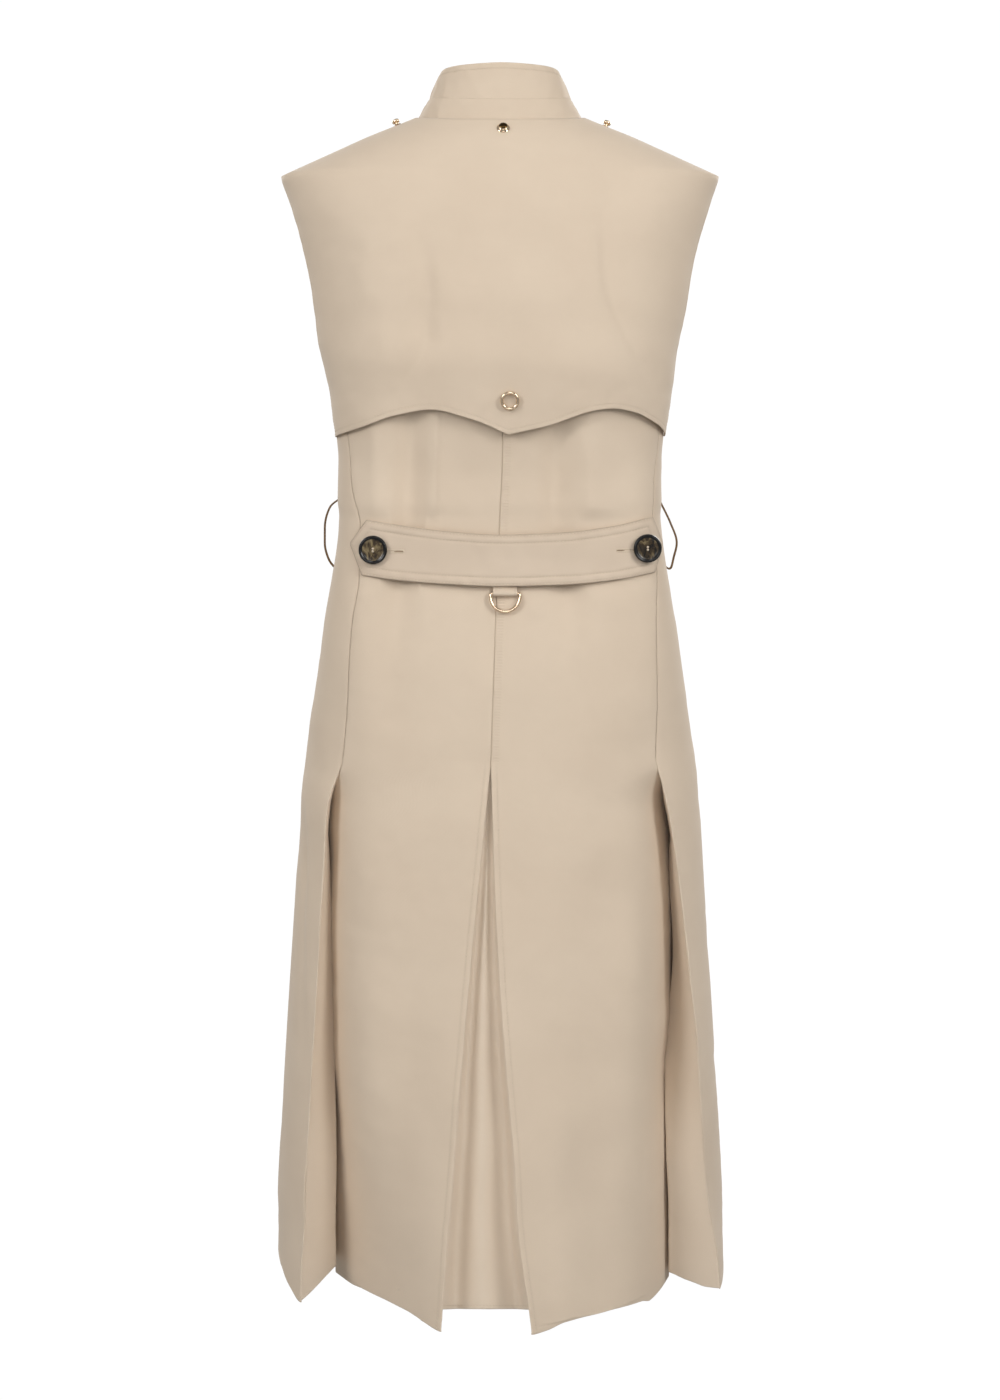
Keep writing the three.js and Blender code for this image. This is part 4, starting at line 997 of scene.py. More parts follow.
# Pleat underlays
CENTRE_TOP_Z, CENTRE_BEYOND_TOP, CENTRE_BEYOND_HEM = -636, 22, 44
CENTRE_RECESS, CENTRE_NEARER, CENTRE_JOIN, CENTRE_SAG = 26, 12, 3.1, 0.4
CENTRE_COLUMNS, CENTRE_HEM_STITCH = 61, 3.6


def back_surface_at(x, z):
    points = []
    for hand in SIDES:
        inner, outer = centre_angle(hand, z), princess_angle(hand, z)
        share = (angle_at_x(hand * x, z, -1) - inner) / (outer - inner)
        points.append(back_point(hand, np.maximum(0, share), z))
    left = x < (VENT[-1](z) + VENT[1](z)) / 2
    return np.where(left[..., None], points[0], points[1])


def make_centre_underlay():
    heights = rows_between(CENTRE_TOP_Z, HEM_Z + 1, [0, 2], FREE_OFFSETS, 5)
    share, z = np.meshgrid(np.linspace(0, 1, CENTRE_COLUMNS), heights)
    part = slit_share(z)
    beyond = mix(CENTRE_BEYOND_TOP, CENTRE_BEYOND_HEM, part)
    left, right = VENT[-1](z), VENT[1](z)
    x = mix(left - beyond, right + beyond, share)
    shown = np.where(x < left, 0, clamp((x - left) / np.maximum(1, right - left)))
    at_left = back_surface_at(np.minimum(x, left), z)[..., 1]
    at_right = back_surface_at(np.maximum(x, right), z)[..., 1]
    away = CENTRE_RECESS * smooth(0, 0.16, shown) * smooth(1, 0.84, shown)
    recess = part * (away - CENTRE_NEARER * bump(shown - 0.46, 0.22))
    y = mix(at_left, at_right, shown) + CENTRE_JOIN + recess
    middle_recess = part * (CENTRE_RECESS - CENTRE_NEARER)
    sag = CENTRE_SAG * (recess - middle_recess) * smooth(HEM_FIT_FROM_Z, HEM_Z, z)
    cloth = Cloth(hem_fitted(np.stack([x, y, z - sag], axis=-1), "underlay"), 1)
    relief = free_relief(cloth.bottom, x, CENTRE_HEM_STITCH) - 0.8
    line = stitch_painted_shade(cloth.bottom, CENTRE_HEM_STITCH)
    cloth.make("underlay_centre", relief, line, material=UNDERLAY_CLOTH_LIT)
    return cloth.declare()


SIDE_UNDERLAY_TOP_Z, UNDERLAY_AT_FOLD, UNDERLAY_CLEAR, UNDERLAY_INSIDE = -660, 0.5, 0.8, 2.4
UNDERLAY_LANDING, UNDERLAY_TURN, UNDERLAY_COLUMNS, UNDERLAY_APART = 24, 20, 64, 14


def surface_normal(surface, share, z, side):
    across = surface(share + 0.004, z) - surface(share - 0.004, z)
    down = surface(share, z - 0.8) - surface(share, z + 0.8)
    normal = np.cross(down, across)
    return side * normal / np.linalg.norm(normal, axis=-1, keepdims=True)


def side_underlay_row(hand, z):
    """From the side panel's fold over the strip's crest and round behind the back panel's edge."""
    side, back = partial(side_point, hand), partial(back_point, hand)
    at_fold, at_edge = surface_normal(side, 0.01, z, hand), surface_normal(back, 0.99, z, hand)
    fold, edge = side(np.float64(0), z), back(np.float64(1), z)
    apart = float(clamp(np.linalg.norm(fold - edge) / UNDERLAY_APART))
    start = fold - at_fold * UNDERLAY_AT_FOLD
    way = (edge - start) * [1, 1, 0]
    way /= max(1e-6, np.linalg.norm(way))
    facing = np.array([-way[1], way[0], 0])
    if facing[1] >= 0:
        facing = -facing
    turn = mix(edge - at_edge * UNDERLAY_INSIDE, edge - facing * UNDERLAY_CLEAR, apart)
    width = np.linalg.norm(edge - back(np.float64(0.9), z)) * 10
    landing_share = 1 - UNDERLAY_LANDING / width
    inside = surface_normal(back, landing_share, z, hand) * UNDERLAY_INSIDE
    landing = back(landing_share, z) - inside
    before = turn + way * UNDERLAY_TURN * apart
    after = landing - at_edge * UNDERLAY_TURN * 0.7 * apart
    crest = mix(fold, edge, 0.5)
    crest[0] = hand * min(CREST[hand](z), abs(fold[0]) - 1)
    crest = mix(turn, crest, smooth(0, 0.09, slit_share(z)))
    route = [mix(start, crest, t) for t in np.linspace(0, 1, 15)[:-1]]
    route += [mix(crest, turn, t) for t in np.linspace(0, 1, 9)[:-1]]
    for t in np.linspace(0, 1, 31):
        bend = (1 - t) ** 3 * turn + 3 * (1 - t) ** 2 * t * before
        route.append(bend + 3 * (1 - t) * t * t * after + t**3 * landing)
    route = np.array(route)
    run = run_along(route)
    row = sampled(np.linspace(0, run[-1], UNDERLAY_COLUMNS), run, route)
    row[:, 2] = z
    return row


def make_side_underlay(hand):
    heights = rows_between(SIDE_UNDERLAY_TOP_Z, HEM_Z + 1, [0, 2], FREE_OFFSETS, 5)
    rows = np.array([side_underlay_row(hand, z) for z in heights])
    cloth = Cloth(hem_fitted(rows, "strip"), -hand)
    relief = hem_relief(cloth.bottom, cloth.x) - 0.3
    node, line = f"underlay_{SIDES[hand]}", 0 * relief
    cloth.make(node, relief, line, material=UNDERLAY_CLOTH_LIT).declare()


CENTRE_UNDERLAY = make_centre_underlay()
for hand in SIDES:
    make_side_underlay(hand)


# Stand collar
COLLAR_WALL, COLLAR_STITCH, COLLAR_FRONT_GAP_SHARE, COLLAR_COLUMNS = 2, 6, 0.09, 261
# Share of the neckline's width, of its depth behind and before, then height behind, beside and before
STAND_LEVELS = [
    (0.985, 0.966, 0.93, -5, -5, -5), (0.89, 0.925, 0.89, 8, 8, 8), (0.823, 0.896, 0.866, 21, 19.4, 20),
]
COLLAR_LEVELS = [
    (0.818, 0.893, 0.863, 19.5, 18.1, 18.5), (0.765, 0.855, 0.84, 38, 31.5, 33),
    (0.7, 0.81, 0.81, 58, 43.5, 46),
]


def neckline(share):
    """Share -1 and 1 at the centre front, 0 at the centre back."""
    points = []
    for hand in SIDES:
        way = np.abs(share) * 2
        behind = back_point(hand, np.minimum(way, 1), 0 * share)
        before = front_point(hand, np.maximum(2 - way, 0), 0 * share)
        points.append(np.where((way < 1)[..., None], behind, before))
    return np.where((share < 0)[..., None], points[0], points[1])


def make_collar_band(name, levels, stitched):
    reach = 1 - COLLAR_FRONT_GAP_SHARE
    rise = np.concatenate([[1, 0.985, 0.965], np.linspace(0.94, 0.06, 22), [0.035, 0.015, 0]])
    if stitched:
        rise = np.sort(np.concatenate([rise, [0.9, 0.875, 0.86, 0.845, 0.83]]))[::-1]
    share, level = np.meshgrid(np.linspace(-reach, reach, COLLAR_COLUMNS), rise)
    base = neckline(share)
    way = np.abs(share) * 2
    weights = [(2 * level - 1) * (level - 1), 4 * level * (1 - level), level * (2 * level - 1)]
    wide, deep_behind, deep_before, behind, beside, before = (
        sum(weight * row[k] for weight, row in zip(weights, levels)) for k in range(6)
    )
    height = np.where(way < 1, mix(behind, beside, way**1.5), mix(beside, before, way - 1))
    depth = np.where(base[..., 1] > 0, deep_before, deep_behind)
    points = np.stack([base[..., 0] * wide, base[..., 1] * depth, base[..., 2] + height], axis=-1)
    cloth = Cloth(points, 1, at_neck=0)
    run = cloth.first[:, -1:] * share / (2 * reach)
    relief = free_relief(cloth.first, cloth.z) + free_relief(cloth.last, cloth.z)
    relief = relief + 0.4 * seam_relief(cloth.bottom, run)
    relief = relief + 0.25 * FINE(run, cloth.top) * smooth(0, 8, cloth.top)
    if stitched:
        relief = relief + free_relief(cloth.top, run, COLLAR_STITCH)
        line = 1.4 * stitch_painted_shade(cloth.top, COLLAR_STITCH)
    else:
        relief = relief + 0.4 * seam_relief(cloth.top, run)
        line = 0.5 * seam_painted_shade(cloth.top)
    line = line + 0.4 * seam_painted_shade(cloth.bottom)
    return cloth.make(name, relief, line, wall=COLLAR_WALL).declare(held="folded")


make_collar_band("collar_stand", STAND_LEVELS, False)
COLLAR = make_collar_band("collar_upper", COLLAR_LEVELS, True)


# Back tab
TAB_WALL, TAB_LIFT, TAB_LIFT_FROM, TAB_LIFT_TO = 2.2, 4.2, 55, 135
# Tips, then the top and bottom edges from corner to corner: x, z
TAB_TIPS = {-1: (-146.5, -432, -435), 1: (159.5, -432, -435)}
TAB_TOP = [
    (-130.5, -409.5), (-100, -414.2), (-50, -420.5), (0, -423.5), (60, -421.5), (110, -415.5),
    (149, -407),
]
TAB_BOTTOM = [
    (-135.5, -464.2), (-100, -468.8), (-50, -473), (0, -475), (60, -473.6), (110, -469), (151.5, -462),
]
TAB_EDGES = {1: Curve(TAB_TOP), 2: Curve(TAB_BOTTOM)}
TAB_STITCHES = (1.9, 8.6)
BUTTONHOLES = {"left": (-110.7, -95.2, -440.2), "right": (115, 131, -439.4)}


def body_back(x, z):
    """The worn form behind at x and z, and its outward normal."""
    x, z = np.broadcast_arrays(np.asarray(x, float), np.asarray(z, float))

    def at(x, z):
        _, y = ring_point(angle_at_x(np.abs(x), z, -1), z)
        return np.stack([x, y, z], axis=-1)

    normal = np.cross(at(x, z - 0.5) - at(x, z + 0.5), at(x + 0.5, z) - at(x - 0.5, z))
    return at(x, z), normal / np.linalg.norm(normal, axis=-1, keepdims=True)


def tab_edge(x, k):
    """The top edge where k is 1 and the bottom edge where it is 2, with the slants to the tips."""
    rows = TAB_TOP if k == 1 else TAB_BOTTOM
    ends = []
    for tip, corner in ((TAB_TIPS[-1], rows[0]), (TAB_TIPS[1], rows[-1])):
        ends.append(mix(tip[k], corner[1], (x - tip[0]) / (corner[0] - tip[0])))
    inner = np.where(x > rows[-1][0], ends[1], TAB_EDGES[k](x))
    return np.where(x < rows[0][0], ends[0], inner)


def tab_outline():
    (left, left_top, left_bottom), (right, right_top, right_bottom) = TAB_TIPS.values()
    x = np.linspace(TAB_TOP[0][0], TAB_TOP[-1][0], 40)
    outline = list(zip(x, TAB_EDGES[1](x))) + [(right, right_top), (right, right_bottom)]
    x = np.linspace(TAB_BOTTOM[-1][0], TAB_BOTTOM[0][0], 40)
    return np.array(outline + list(zip(x, TAB_EDGES[2](x))) + [(left, left_bottom), (left, left_top)])


def outline_distance(x, z, outline):
    nearest = np.inf + 0 * x
    for start, end in zip(outline, np.roll(outline, -1, axis=0)):
        run = end - start
        t = clamp(((x - start[0]) * run[0] + (z - start[1]) * run[1]) / (run @ run))
        away = np.hypot(x - start[0] - t * run[0], z - start[1] - t * run[1])
        nearest = np.minimum(nearest, away)
    return nearest


def tab_relief(x, z, distance):
    """The tab's outer face above the worn form."""
    room = 3 * SEAM_GAP + TAB_LIFT * (1 - smooth(TAB_LIFT_FROM, TAB_LIFT_TO, np.abs(x)))
    relief = room + TAB_WALL - 0.9 * bump(distance, 0.8)
    for stitch in TAB_STITCHES:
        relief = relief - 0.5 * bump(distance - stitch, 0.9)
    relief = relief + 0.14 * bump(distance - 5, 4) * PUCKER(x, 0 * z)
    for start, end, at_z in BUTTONHOLES.values():
        away = np.hypot(x - np.clip(x, start, end), z - at_z)
        relief = relief - 0.5 * bump(away, 3.2)
    return relief + 0.35 * BROAD(x * 1.6, z) + 0.12 * FINE(x, z)


def tab_surface(x, z):
    points, normals = body_back(x, z)
    relief = tab_relief(x, z, outline_distance(x, z, tab_outline()))
    return points + normals * relief[..., None], normals


def make_tab():
    ends = np.array([0, 0.6, 1.3, 1.9, 2.6, 4, 6, 8, 9.4])
    middle = np.arange(TAB_BOTTOM[0][0], TAB_TOP[-1][0] + 0.5, 1.3)
    x = np.concatenate([TAB_TIPS[-1][0] + ends, middle, TAB_TIPS[1][0] - ends[::-1]])
    offsets = np.array([0, 0.6, 1.2, 1.9, 2.6, 3.8, 5.4, 7.2, 8, 8.6, 9.3, 10.6])
    top, bottom = tab_edge(x, 1), tab_edge(x, 2)
    squeeze = np.minimum(1, 0.42 * (top - bottom) / offsets[-1])
    rows = [top - offset * squeeze for offset in offsets]
    last = bottom + offsets[-1] * squeeze
    rows += [mix(rows[-1], last, t) for t in np.linspace(0, 1, 20)[1:-1]]
    rows += [bottom + offset * squeeze for offset in offsets[::-1]]
    z = np.array(rows)
    x = x[None, :] + 0 * z
    points, normals = body_back(x, z)
    cloth = Cloth(points, 1)
    cloth.normals = normals
    distance = outline_distance(x, z, tab_outline())
    # Painted shade along the stitching, and a painted shadow at the tab's edge where it stands over the
    # body.
    line = 1.5 * sum(stitch_painted_shade(distance, stitch) for stitch in TAB_STITCHES) + 0.9 * bump(distance, 0.9)
    relief = tab_relief(x, z, distance)
    cloth.make("back_tab", relief, line, wall=TAB_WALL, material=TAB_CLOTH_SHADED).declare()


make_tab()


# D-ring on its bar, and the strap round the bar
RING_X, RING_Y, RING_Z = 5, -109.7, -480.4
RING_WIRE, RING_HALF, RING_DROP, RING_CORNER, RING_TILT = 1.55, 14.3, 18, 2.6, 9
STRAP_WIDTH, STRAP_WALL, STRAP_CLEARANCE, STRAP_TOP_Z, STRAP_STITCH = 23.6, 1.2, 0.35, -467, 2.2


def closed_wire(name, path, radius, material, sides=20):
    """A round wire along a closed path of points in the XZ plane."""
    path = np.array(path, float)
    heading = np.roll(path, -1, axis=0) - np.roll(path, 1, axis=0)
    heading /= np.linalg.norm(heading, axis=1, keepdims=True)
    side = np.stack([-heading[:, 2], 0 * heading[:, 0], heading[:, 0]], axis=1)
    turn = np.linspace(0, 2 * math.pi, sides, endpoint=False)
    around = radius * np.cos(turn)[None, :, None] * side[:, None, :]
    vertices = path[:, None, :] + around + radius * np.sin(turn)[None, :, None] * np.array([0, 1, 0])
    return new_object(name, vertices.reshape(-1, 3), round_faces(len(path), sides, closed=True), material)


def arc(cx, cz, radius, start, end, steps):
    turns = np.linspace(start, end, steps)
    return [(cx + radius * math.cos(t), 0, cz + radius * math.sin(t)) for t in turns]


def make_ring():
    quarter = math.pi / 2
    path = arc(RING_HALF - RING_CORNER, -RING_CORNER, RING_CORNER, quarter, 0, 9)
    path += arc(0, -(RING_DROP - RING_HALF), RING_HALF, 0, -math.pi, 56)
    path += arc(-RING_HALF + RING_CORNER, -RING_CORNER, RING_CORNER, math.pi, quarter, 9)
    obj = closed_wire("d_ring_metal", path, RING_WIRE, GOLD)
    tilt = Matrix.Rotation(math.radians(-RING_TILT), 4, "X")
    obj.data.transform(Matrix.Translation(Vector((RING_X, RING_Y, RING_Z)) * MM) @ tilt)
    dress_piece(obj, "d_ring", "ring")


def make_strap():
    radius = RING_WIRE + STRAP_CLEARANCE + STRAP_WALL / 2
    behind, above = (
        ring_point(angle_at_x(RING_X, np.float64(z), -1), np.float64(z))[1] for z in (RING_Z, STRAP_TOP_Z)
    )
    lean, top = 0.5 * (behind - above), STRAP_TOP_Z - RING_Z
    outside = radius + STRAP_WALL / 2
    front_top = np.array([outside - lean - 1.5 * STRAP_WALL, top])
    front_low = np.array([outside - 1.5 * STRAP_WALL, outside + 0.8])
    turns = np.linspace(math.pi * 0.86, math.pi * 2.04, 26)
    loop = np.stack([radius * np.cos(turns), radius * np.sin(turns)], axis=1)
    back = [(radius, outside * 0.6), (outside - lean - 0.5 * STRAP_WALL, top)]
    stops = np.concatenate([[front_top, mix(front_top, front_low, 0.5), front_low], loop, back])
    across = np.array([0, 0.5, 1.1, 1.8, 2.6, 3.6])
    x = [across - STRAP_WIDTH / 2, np.linspace(-6.5, 6.5, 9), STRAP_WIDTH / 2 - across[::-1]]
    run = run_along(stops)
    y, z = softened(sampled(np.linspace(0, run[-1], 76), run, stops), 3).T[..., None]
    x = np.concatenate(x) + 0 * y
    cloth = Cloth(np.stack([x + RING_X, y + RING_Y + 0 * x, z + RING_Z + 0 * x], axis=-1), 1)
    edge = np.minimum(cloth.first, cloth.last)
    relief = STRAP_WALL / 2 - 0.3 * bump(edge, 0.6) - 0.15 * bump(edge - STRAP_STITCH, 0.6)
    cloth.make("d_ring_strap", relief, stitch_painted_shade(edge, STRAP_STITCH), wall=STRAP_WALL)


make_ring()
make_strap()


# Belt loops: narrow ribbons that bow out behind the side seams
LOOP_WIDTH, LOOP_MIDDLE_Y, LOOP_WALL = 7, -4.7, 1.6
# How far it stands off, height
LOOPS = {
    -1: [(0.9, -392.5), (10.5, -400.5), (15, -420), (13.6, -438), (6.6, -455), (0.9, -461)],
    1: [(0.9, -396), (10.8, -418), (15.4, -437), (10, -452), (4.8, -463.5), (0.9, -459.5)],
}


def make_loop(hand):
    stops = np.array([(hand * (ring(z)[0] + out), z) for out, z in LOOPS[hand]])
    run = run_along(stops)
    places = np.linspace(0, run[-1], 60)
    route = np.stack([Curve(list(zip(run, column)))(places) for column in stops.T], axis=1)
    x, z = softened(route, 6).T[..., None]
    y = LOOP_MIDDLE_Y + np.linspace(-LOOP_WIDTH / 2, LOOP_WIDTH / 2, 12)
    cloth = Cloth(np.stack([x + 0 * y, y + 0 * x, z + 0 * y], axis=-1), -hand)
    edge = np.minimum(cloth.first, cloth.last)
    cloth.make(
        f"belt_loop_{SIDES[hand]}", -0.2 * bump(edge, 0.6), 0 * edge, wall=LOOP_WALL, material=RIBBON,
        ending="ribbon",
    )


for hand in SIDES:
    make_loop(hand)


# Turned pieces, each on the axis and seat of its solid
def seat_of(node, outward, disc=True):
    """Where a solid of revolution sits: the middle of its foot and its axis, in metres."""
    points = np.array([tuple(vertex.co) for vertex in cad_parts[node].data.vertices])
    values, vectors = np.linalg.eigh(np.cov((points - points.mean(axis=0)).T))
    flat = disc or values[1] - values[0] > values[2] - values[1]
    axis = vectors[:, 0] if flat else vectors[:, 2]
    axis = axis if axis @ np.array(outward) > 0 else -axis
    along = points @ axis
    radial = points - np.outer(along, axis)
    return (radial.min(axis=0) + radial.max(axis=0)) / 2 + axis * along.min(), axis


def placed(foot, axis):
    up = Vector(axis).normalized()
    across = Vector((0, 0, 1)) - up * up.z
    if across.length < 0.1:
        across = Vector((0, -1, 0)) - up * -up.y
    across.normalize()
    turn = Matrix((across.cross(up), across, up)).transposed().to_4x4()
    return Matrix.Translation(Vector(foot)) @ turn


def ring_vertices(profile, segments):
    turns = np.linspace(0, 2 * math.pi, segments, endpoint=False)
    return [(r * math.cos(t), r * math.sin(t), h) for r, h in profile for t in turns]


def turned(name, profile, material, foot, axis, segments=96, rim=None):
    """A piece turned round its axis from a profile of (radius, height) in millimetres."""
    last = (len(profile) - 1) * segments
    faces = round_faces(len(profile), segments)
    faces += [range(segments - 1, -1, -1), range(last, last + segments)]
    obj = new_object(name, ring_vertices(profile, segments), faces, material)
    if rim:
        marks = np.repeat([r > rim for r, _ in profile], segments).astype(np.float32)
        obj.data.attributes.new("rim", "FLOAT", "POINT").data.foreach_set("value", marks)
    obj.data.transform(placed(foot, axis))
    return obj


def rounded_profile(points, steps):
    """Corners of a profile rounded off by cutting them repeatedly."""
    points = np.array(points, float)
    for _ in range(steps):
        start, end = points[:-1], points[1:]
        cut = np.empty((2 * len(start), 2))
        cut[0::2], cut[1::2] = mix(start, end, 0.25), mix(start, end, 0.75)
        points = np.concatenate([points[:1], cut[1:-1], points[-1:]])
    return points


# Radius, height
BUTTON_PROFILE = [
    (0.4, 0), (10, 0), (12.8, 0.5), (14.1, 1.9), (14.1, 3.2), (13.4, 4.4), (12.2, 4.4), (11, 3.7),
    (9.6, 3.1), (5, 3.05), (0.4, 3.05),
]
BUTTON_RIM, THREAD_DOTS_APART = 10.6, 2.6
THREAD_DOT_PROFILE = [(0.2, 2.7), (1.0, 2.8), (1.15, 3.3), (0.9, 3.75), (0.2, 3.9)]
# How far each tab button lies from its solid, in x and z
TAB_BUTTON_MOVES = {"tab_button_left": (3.2, 2.3), "tab_button_right": (-4.7, 2.3)}
TAB_BUTTON_FACING, TAB_BUTTON_RISE = 0.75, 0.8


def on_tab(foot, move):
    """The foot carried along the worn form, and an axis between its normal and straight back."""
    x, z = foot[0] / MM, foot[2] / MM
    before, _ = body_back(x, z)
    after, normal = body_back(x + move[0], z + move[1])
    axis = mix(normal, np.array([0, -1, 0]), TAB_BUTTON_FACING)
    return foot + (after - before + axis * TAB_BUTTON_RISE) * MM, axis / np.linalg.norm(axis)


def make_button(node, outward):
    foot, axis = seat_of(node, outward)
    if node in TAB_BUTTON_MOVES:
        foot, axis = on_tab(foot, TAB_BUTTON_MOVES[node])
    profile = rounded_profile(BUTTON_PROFILE, 3)
    dress_piece(turned(f"{node}_horn", profile, HORN, foot, axis, rim=BUTTON_RIM), node)
    for k, way in enumerate((-1, 1)):
        dot = turned(f"{node}_thread_{k + 1}", THREAD_DOT_PROFILE, THREAD, (0, 0, 0), (0, 0, 1), 20)
        aside = Matrix.Translation((0, way * THREAD_DOTS_APART * MM / 2, 0))
        dot.data.transform(placed(foot, axis) @ aside)
        dress_piece(dot, None)


STUD_PROFILE = [
    (0.1, 0), (3.9, 0), (4.1, 0.4), (3.8, 0.9), (2.1, 1.4), (1.9, 2), (1.9, 3), (3, 3.5), (3.8, 4.1),
    (4, 5), (3.9, 6), (3.3, 6.9), (2.1, 7.3), (0.1, 7.4),
]
NECK_STUD_PROFILE = [
    (0.1, 0), (6, 0), (6.6, 0.4), (6.5, 0.9), (5.6, 1.5), (4.7, 1.9), (4.5, 2.2), (4.9, 2.5), (4.9, 3),
    (4.4, 3.4), (3.9, 3.5), (0.1, 3.5),
]
NECK_STUD_FACE = [(0.1, 3.3), (4.1, 3.3), (4.3, 3.7), (3.4, 4.4), (1.8, 4.8), (0.1, 4.9)]
# How far each stud goes with the drawn-down cloth
SHOULDER_STUD_MOVE, NECK_STUD_MOVE = (0, -4.5, -1), (0, 0, -SHOULDER_DROP - 0.5)


def make_stud(node, outward, profile, move):
    foot, axis = seat_of(node, outward, disc=False)
    foot = foot + np.array(move) * MM
    obj = turned(f"{node}_metal", rounded_profile(profile, 2), GOLD, foot, axis, 64)
    dress_piece(obj, node)
    return foot, axis


def make_neck_stud():
    """A wide gold foot and a dark faceted head in a gold rim."""
    foot, axis = make_stud("neck_stud", (0, -1, 0), NECK_STUD_PROFILE, NECK_STUD_MOVE)
    face = turned("neck_stud_face", NECK_STUD_FACE, DARK_BRONZE, foot, axis, 12)
    face.data.polygons.foreach_set("use_smooth", [False] * len(face.data.polygons))
    dress_piece(face, None)


FLAP_RING_RADIUS, FLAP_RING_WIRE = 7.8, 1.6


def make_flap_ring():
    foot, axis = seat_of("flap_ring", (0, -1, 0))
    path = arc(0, 0, FLAP_RING_RADIUS, 0, 2 * math.pi, 91)[:-1]
    obj = closed_wire("flap_ring_metal", path, FLAP_RING_WIRE, GOLD)
    obj.data.transform(Matrix.Rotation(math.pi / 2, 4, "X"))
    obj.data.transform(placed(Vector(foot) + Vector(axis) * FLAP_RING_WIRE * MM, axis))
    dress_piece(obj, "flap_ring")


for side in SIDES.values():
    make_button(f"tab_button_{side}", (0, -1, 0))
for number in range(1, 7):
    make_button(f"front_button_{number}", (0, 1, 0))
for side in SIDES.values():
    make_stud(f"shoulder_stud_{side}", (0, 0, 1), STUD_PROFILE, SHOULDER_STUD_MOVE)
make_neck_stud()
make_flap_ring()


# Sewing
flap_lines = [FLAP.beside(run, STITCH_IN, TIP_Z - 4) for run in (FLAP.first, FLAP.last)]
stitches("flap_stitches", flap_lines + [FLAP.across(FLAP.bottom, STITCH_IN, STITCH_IN)])
stitches(
    "vent_stitches", [cloth.beside(cloth.first, VENT_STITCH, SLIT_TOP_Z - 6) for cloth in BACKS.values()]
)
armhole_lines = [cloth.beside(cloth.last, STITCH_IN, TIP_Z - 4, UNDERARM_Z) for cloth in FRONTS.values()]
armhole_lines += [
    cloth.beside(cloth.last, STITCH_IN, bottom=UNDERARM_Z) for cloth in SIDE_PANELS.values()
]
stitches("armhole_stitches", armhole_lines)
stitches("front_stitches", [FRONTS[1].beside(FRONTS[1].first, STITCH_IN)])
collar_lines = [COLLAR.across(COLLAR.top, COLLAR_STITCH, 3)]
stitches("collar_stitches", collar_lines + [COLLAR.beside(run, 4) for run in (COLLAR.first, COLLAR.last)])
hem_lines = [CENTRE_UNDERLAY.across(CENTRE_UNDERLAY.bottom, CENTRE_HEM_STITCH)]
stitches("underlay_hem_stitches", hem_lines)


def inset(outline, distance):
    """The outline moved in by a distance."""
    run = np.roll(outline, -1, axis=0) - np.roll(outline, 1, axis=0)
    run /= np.linalg.norm(run, axis=1, keepdims=True)
    moved = outline + np.stack([run[:, 1], -run[:, 0]], axis=1) * distance
    return moved[outline_distance(moved[:, 0], moved[:, 1], outline) > distance * 0.93]


def tab_lines():
    fine = []
    outline = tab_outline()
    for start, end in zip(outline, np.roll(outline, -1, axis=0)):
        steps = max(1, int(np.linalg.norm(end - start)))
        fine += [mix(start, end, t) for t in np.linspace(0, 1, steps, endpoint=False)]
    lines = []
    for distance in TAB_STITCHES:
        path = inset(np.array(fine), distance)
        path = np.concatenate([path, path[:1]])
        lines.append(tab_surface(path[:, 0], path[:, 1]))
    return lines


stitches("tab_stitches", tab_lines())

HOLE_HALF, HOLE_POINTS = 1.7, 72
# Share of the way in and height of each ring of the hole's thread edge
HOLE_RINGS = [(0, -0.3), (0, 0.1), (0.3, 0.5), (0.75, 0.5), (1, 0.15), (1, -0.3)]


def make_buttonhole(name, start, end, at_z):
    """A worked hole: a slit with its thread edge round it."""
    turn = np.linspace(0, 2 * math.pi, HOLE_POINTS, endpoint=False)
    x = np.where(np.cos(turn) > 0, end, start) + HOLE_HALF * 0.9 * np.cos(turn)
    z = at_z + HOLE_HALF * np.sin(turn)
    outer, normals = tab_surface(x, z)
    inner, _ = tab_surface(mix((start + end) / 2, x, 0.93), mix(at_z, z, 0.35))
    edge = np.concatenate([mix(outer, inner, share) + normals * height for share, height in HOLE_RINGS])
    faces = round_faces(len(HOLE_RINGS), HOLE_POINTS, closed=True)
    dress_piece(new_object(name, edge, faces, THREAD), None)
    # The slit is closed by a darker sheet: painted shade in the hole.
    slit = np.concatenate([inner + normals * 0.06, inner - normals * 0.4])
    faces = [range(HOLE_POINTS), range(2 * HOLE_POINTS - 1, HOLE_POINTS - 1, -1)]
    faces += [face[::-1] for face in round_faces(2, HOLE_POINTS)]
    dress_piece(new_object(f"{name}_slit", slit, faces, HOLE_SHADE), None)


for side, row in BUTTONHOLES.items():
    make_buttonhole(f"buttonhole_{side}", *row)


# Floor, backdrop, lights and camera
STUDIO_PROFILE = [
    (1, -1450), (4000, -1450), (5200, -1300), (6000, -700), (6200, 500), (6000, 3000), (4500, 5000),
    (1, 6000),
]
STUDIO_SEGMENTS, STUDIO_GLOW, AIR_GLOW = 48, 1.02, 0.31
WHITE = (1, 1, 1, 1)


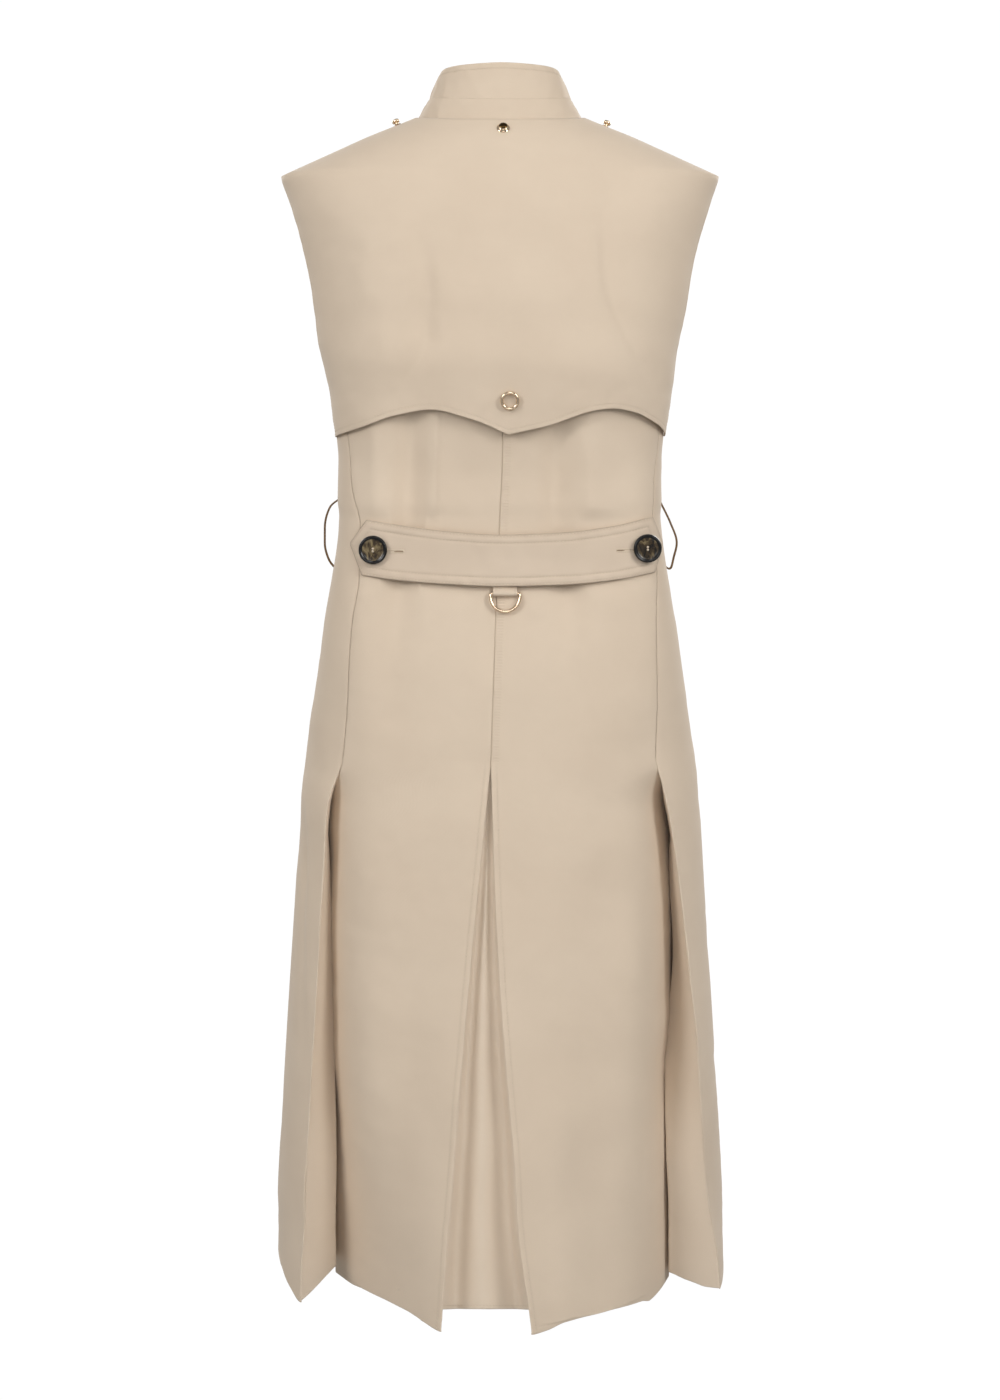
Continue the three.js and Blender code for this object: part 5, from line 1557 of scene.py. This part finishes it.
def make_studio():
    """A glowing white floor and backdrop that only the camera sees."""
    material = bpy.data.materials.new("white_studio")
    material.use_nodes = True
    tree = material.node_tree
    tree.nodes.clear()
    glow = tree.nodes.new("ShaderNodeEmission")
    glow.inputs["Color"].default_value = WHITE
    glow.inputs["Strength"].default_value = STUDIO_GLOW
    output = tree.nodes.new("ShaderNodeOutputMaterial")
    tree.links.new(glow.outputs["Emission"], output.inputs["Surface"])
    faces = [face[::-1] for face in round_faces(len(STUDIO_PROFILE), STUDIO_SEGMENTS)]
    studio = new_object("studio", ring_vertices(STUDIO_PROFILE, STUDIO_SEGMENTS), faces, material)
    studio.visible_diffuse = False
    studio.visible_glossy = False
    studio.visible_transmission = False
    studio.visible_shadow = False


def area_light(name, place, target, width, height, power, spread=180):
    data = bpy.data.lights.new(name, "AREA")
    data.shape, data.size, data.size_y, data.energy = "RECTANGLE", width, height, power
    data.spread = math.radians(spread)
    light = bpy.data.objects.new(name, data)
    light.location = place
    light.rotation_euler = (Vector(target) - Vector(place)).to_track_quat("-Z", "Y").to_euler()
    bpy.context.scene.collection.objects.link(light)


make_studio()
world = bpy.data.worlds.new("studio_air")
bpy.context.scene.world = world
world.use_nodes = True
world.node_tree.nodes["Background"].inputs["Color"].default_value = WHITE
world.node_tree.nodes["Background"].inputs["Strength"].default_value = AIR_GLOW
area_light("key_right", (2.25, -2.1, 0.9), (0, 0, -0.45), 1.0, 1.4, 44)
area_light("key_left", (-2.25, -2.1, 0.9), (0, 0, -0.45), 1.0, 1.4, 40)
area_light("front_low", (0.1, -2.7, -1.7), (0, 0, -1.2), 1.0, 0.6, 0.75, 44)
area_light("front_high", (0.1, -2.7, 0.3), (0, 0, -0.3), 1.0, 0.6, 0.5, 40)
area_light("top", (0.1, -1.6, 1.7), (0, 0, -0.4), 1.0, 0.6, 5)
area_light("far_left", (-1.6, 2.8, 0.8), (0, 0, -0.6), 1.4, 1.6, 48)
area_light("far_right", (1.6, 2.8, 0.8), (0, 0, -0.6), 1.4, 1.6, 60)

camera_data = bpy.data.cameras.new("camera")
camera_data.lens, camera_data.sensor_width, camera_data.shift_y = 55.44, 36, -0.1651
camera = bpy.data.objects.new("camera", camera_data)
camera.location = (0, -2.215, -0.311)
camera.rotation_euler = (math.radians(88.7), 0, 0)
bpy.context.scene.collection.objects.link(camera)
bpy.context.scene.camera = camera
bpy.context.scene.view_settings.view_transform = "Standard"
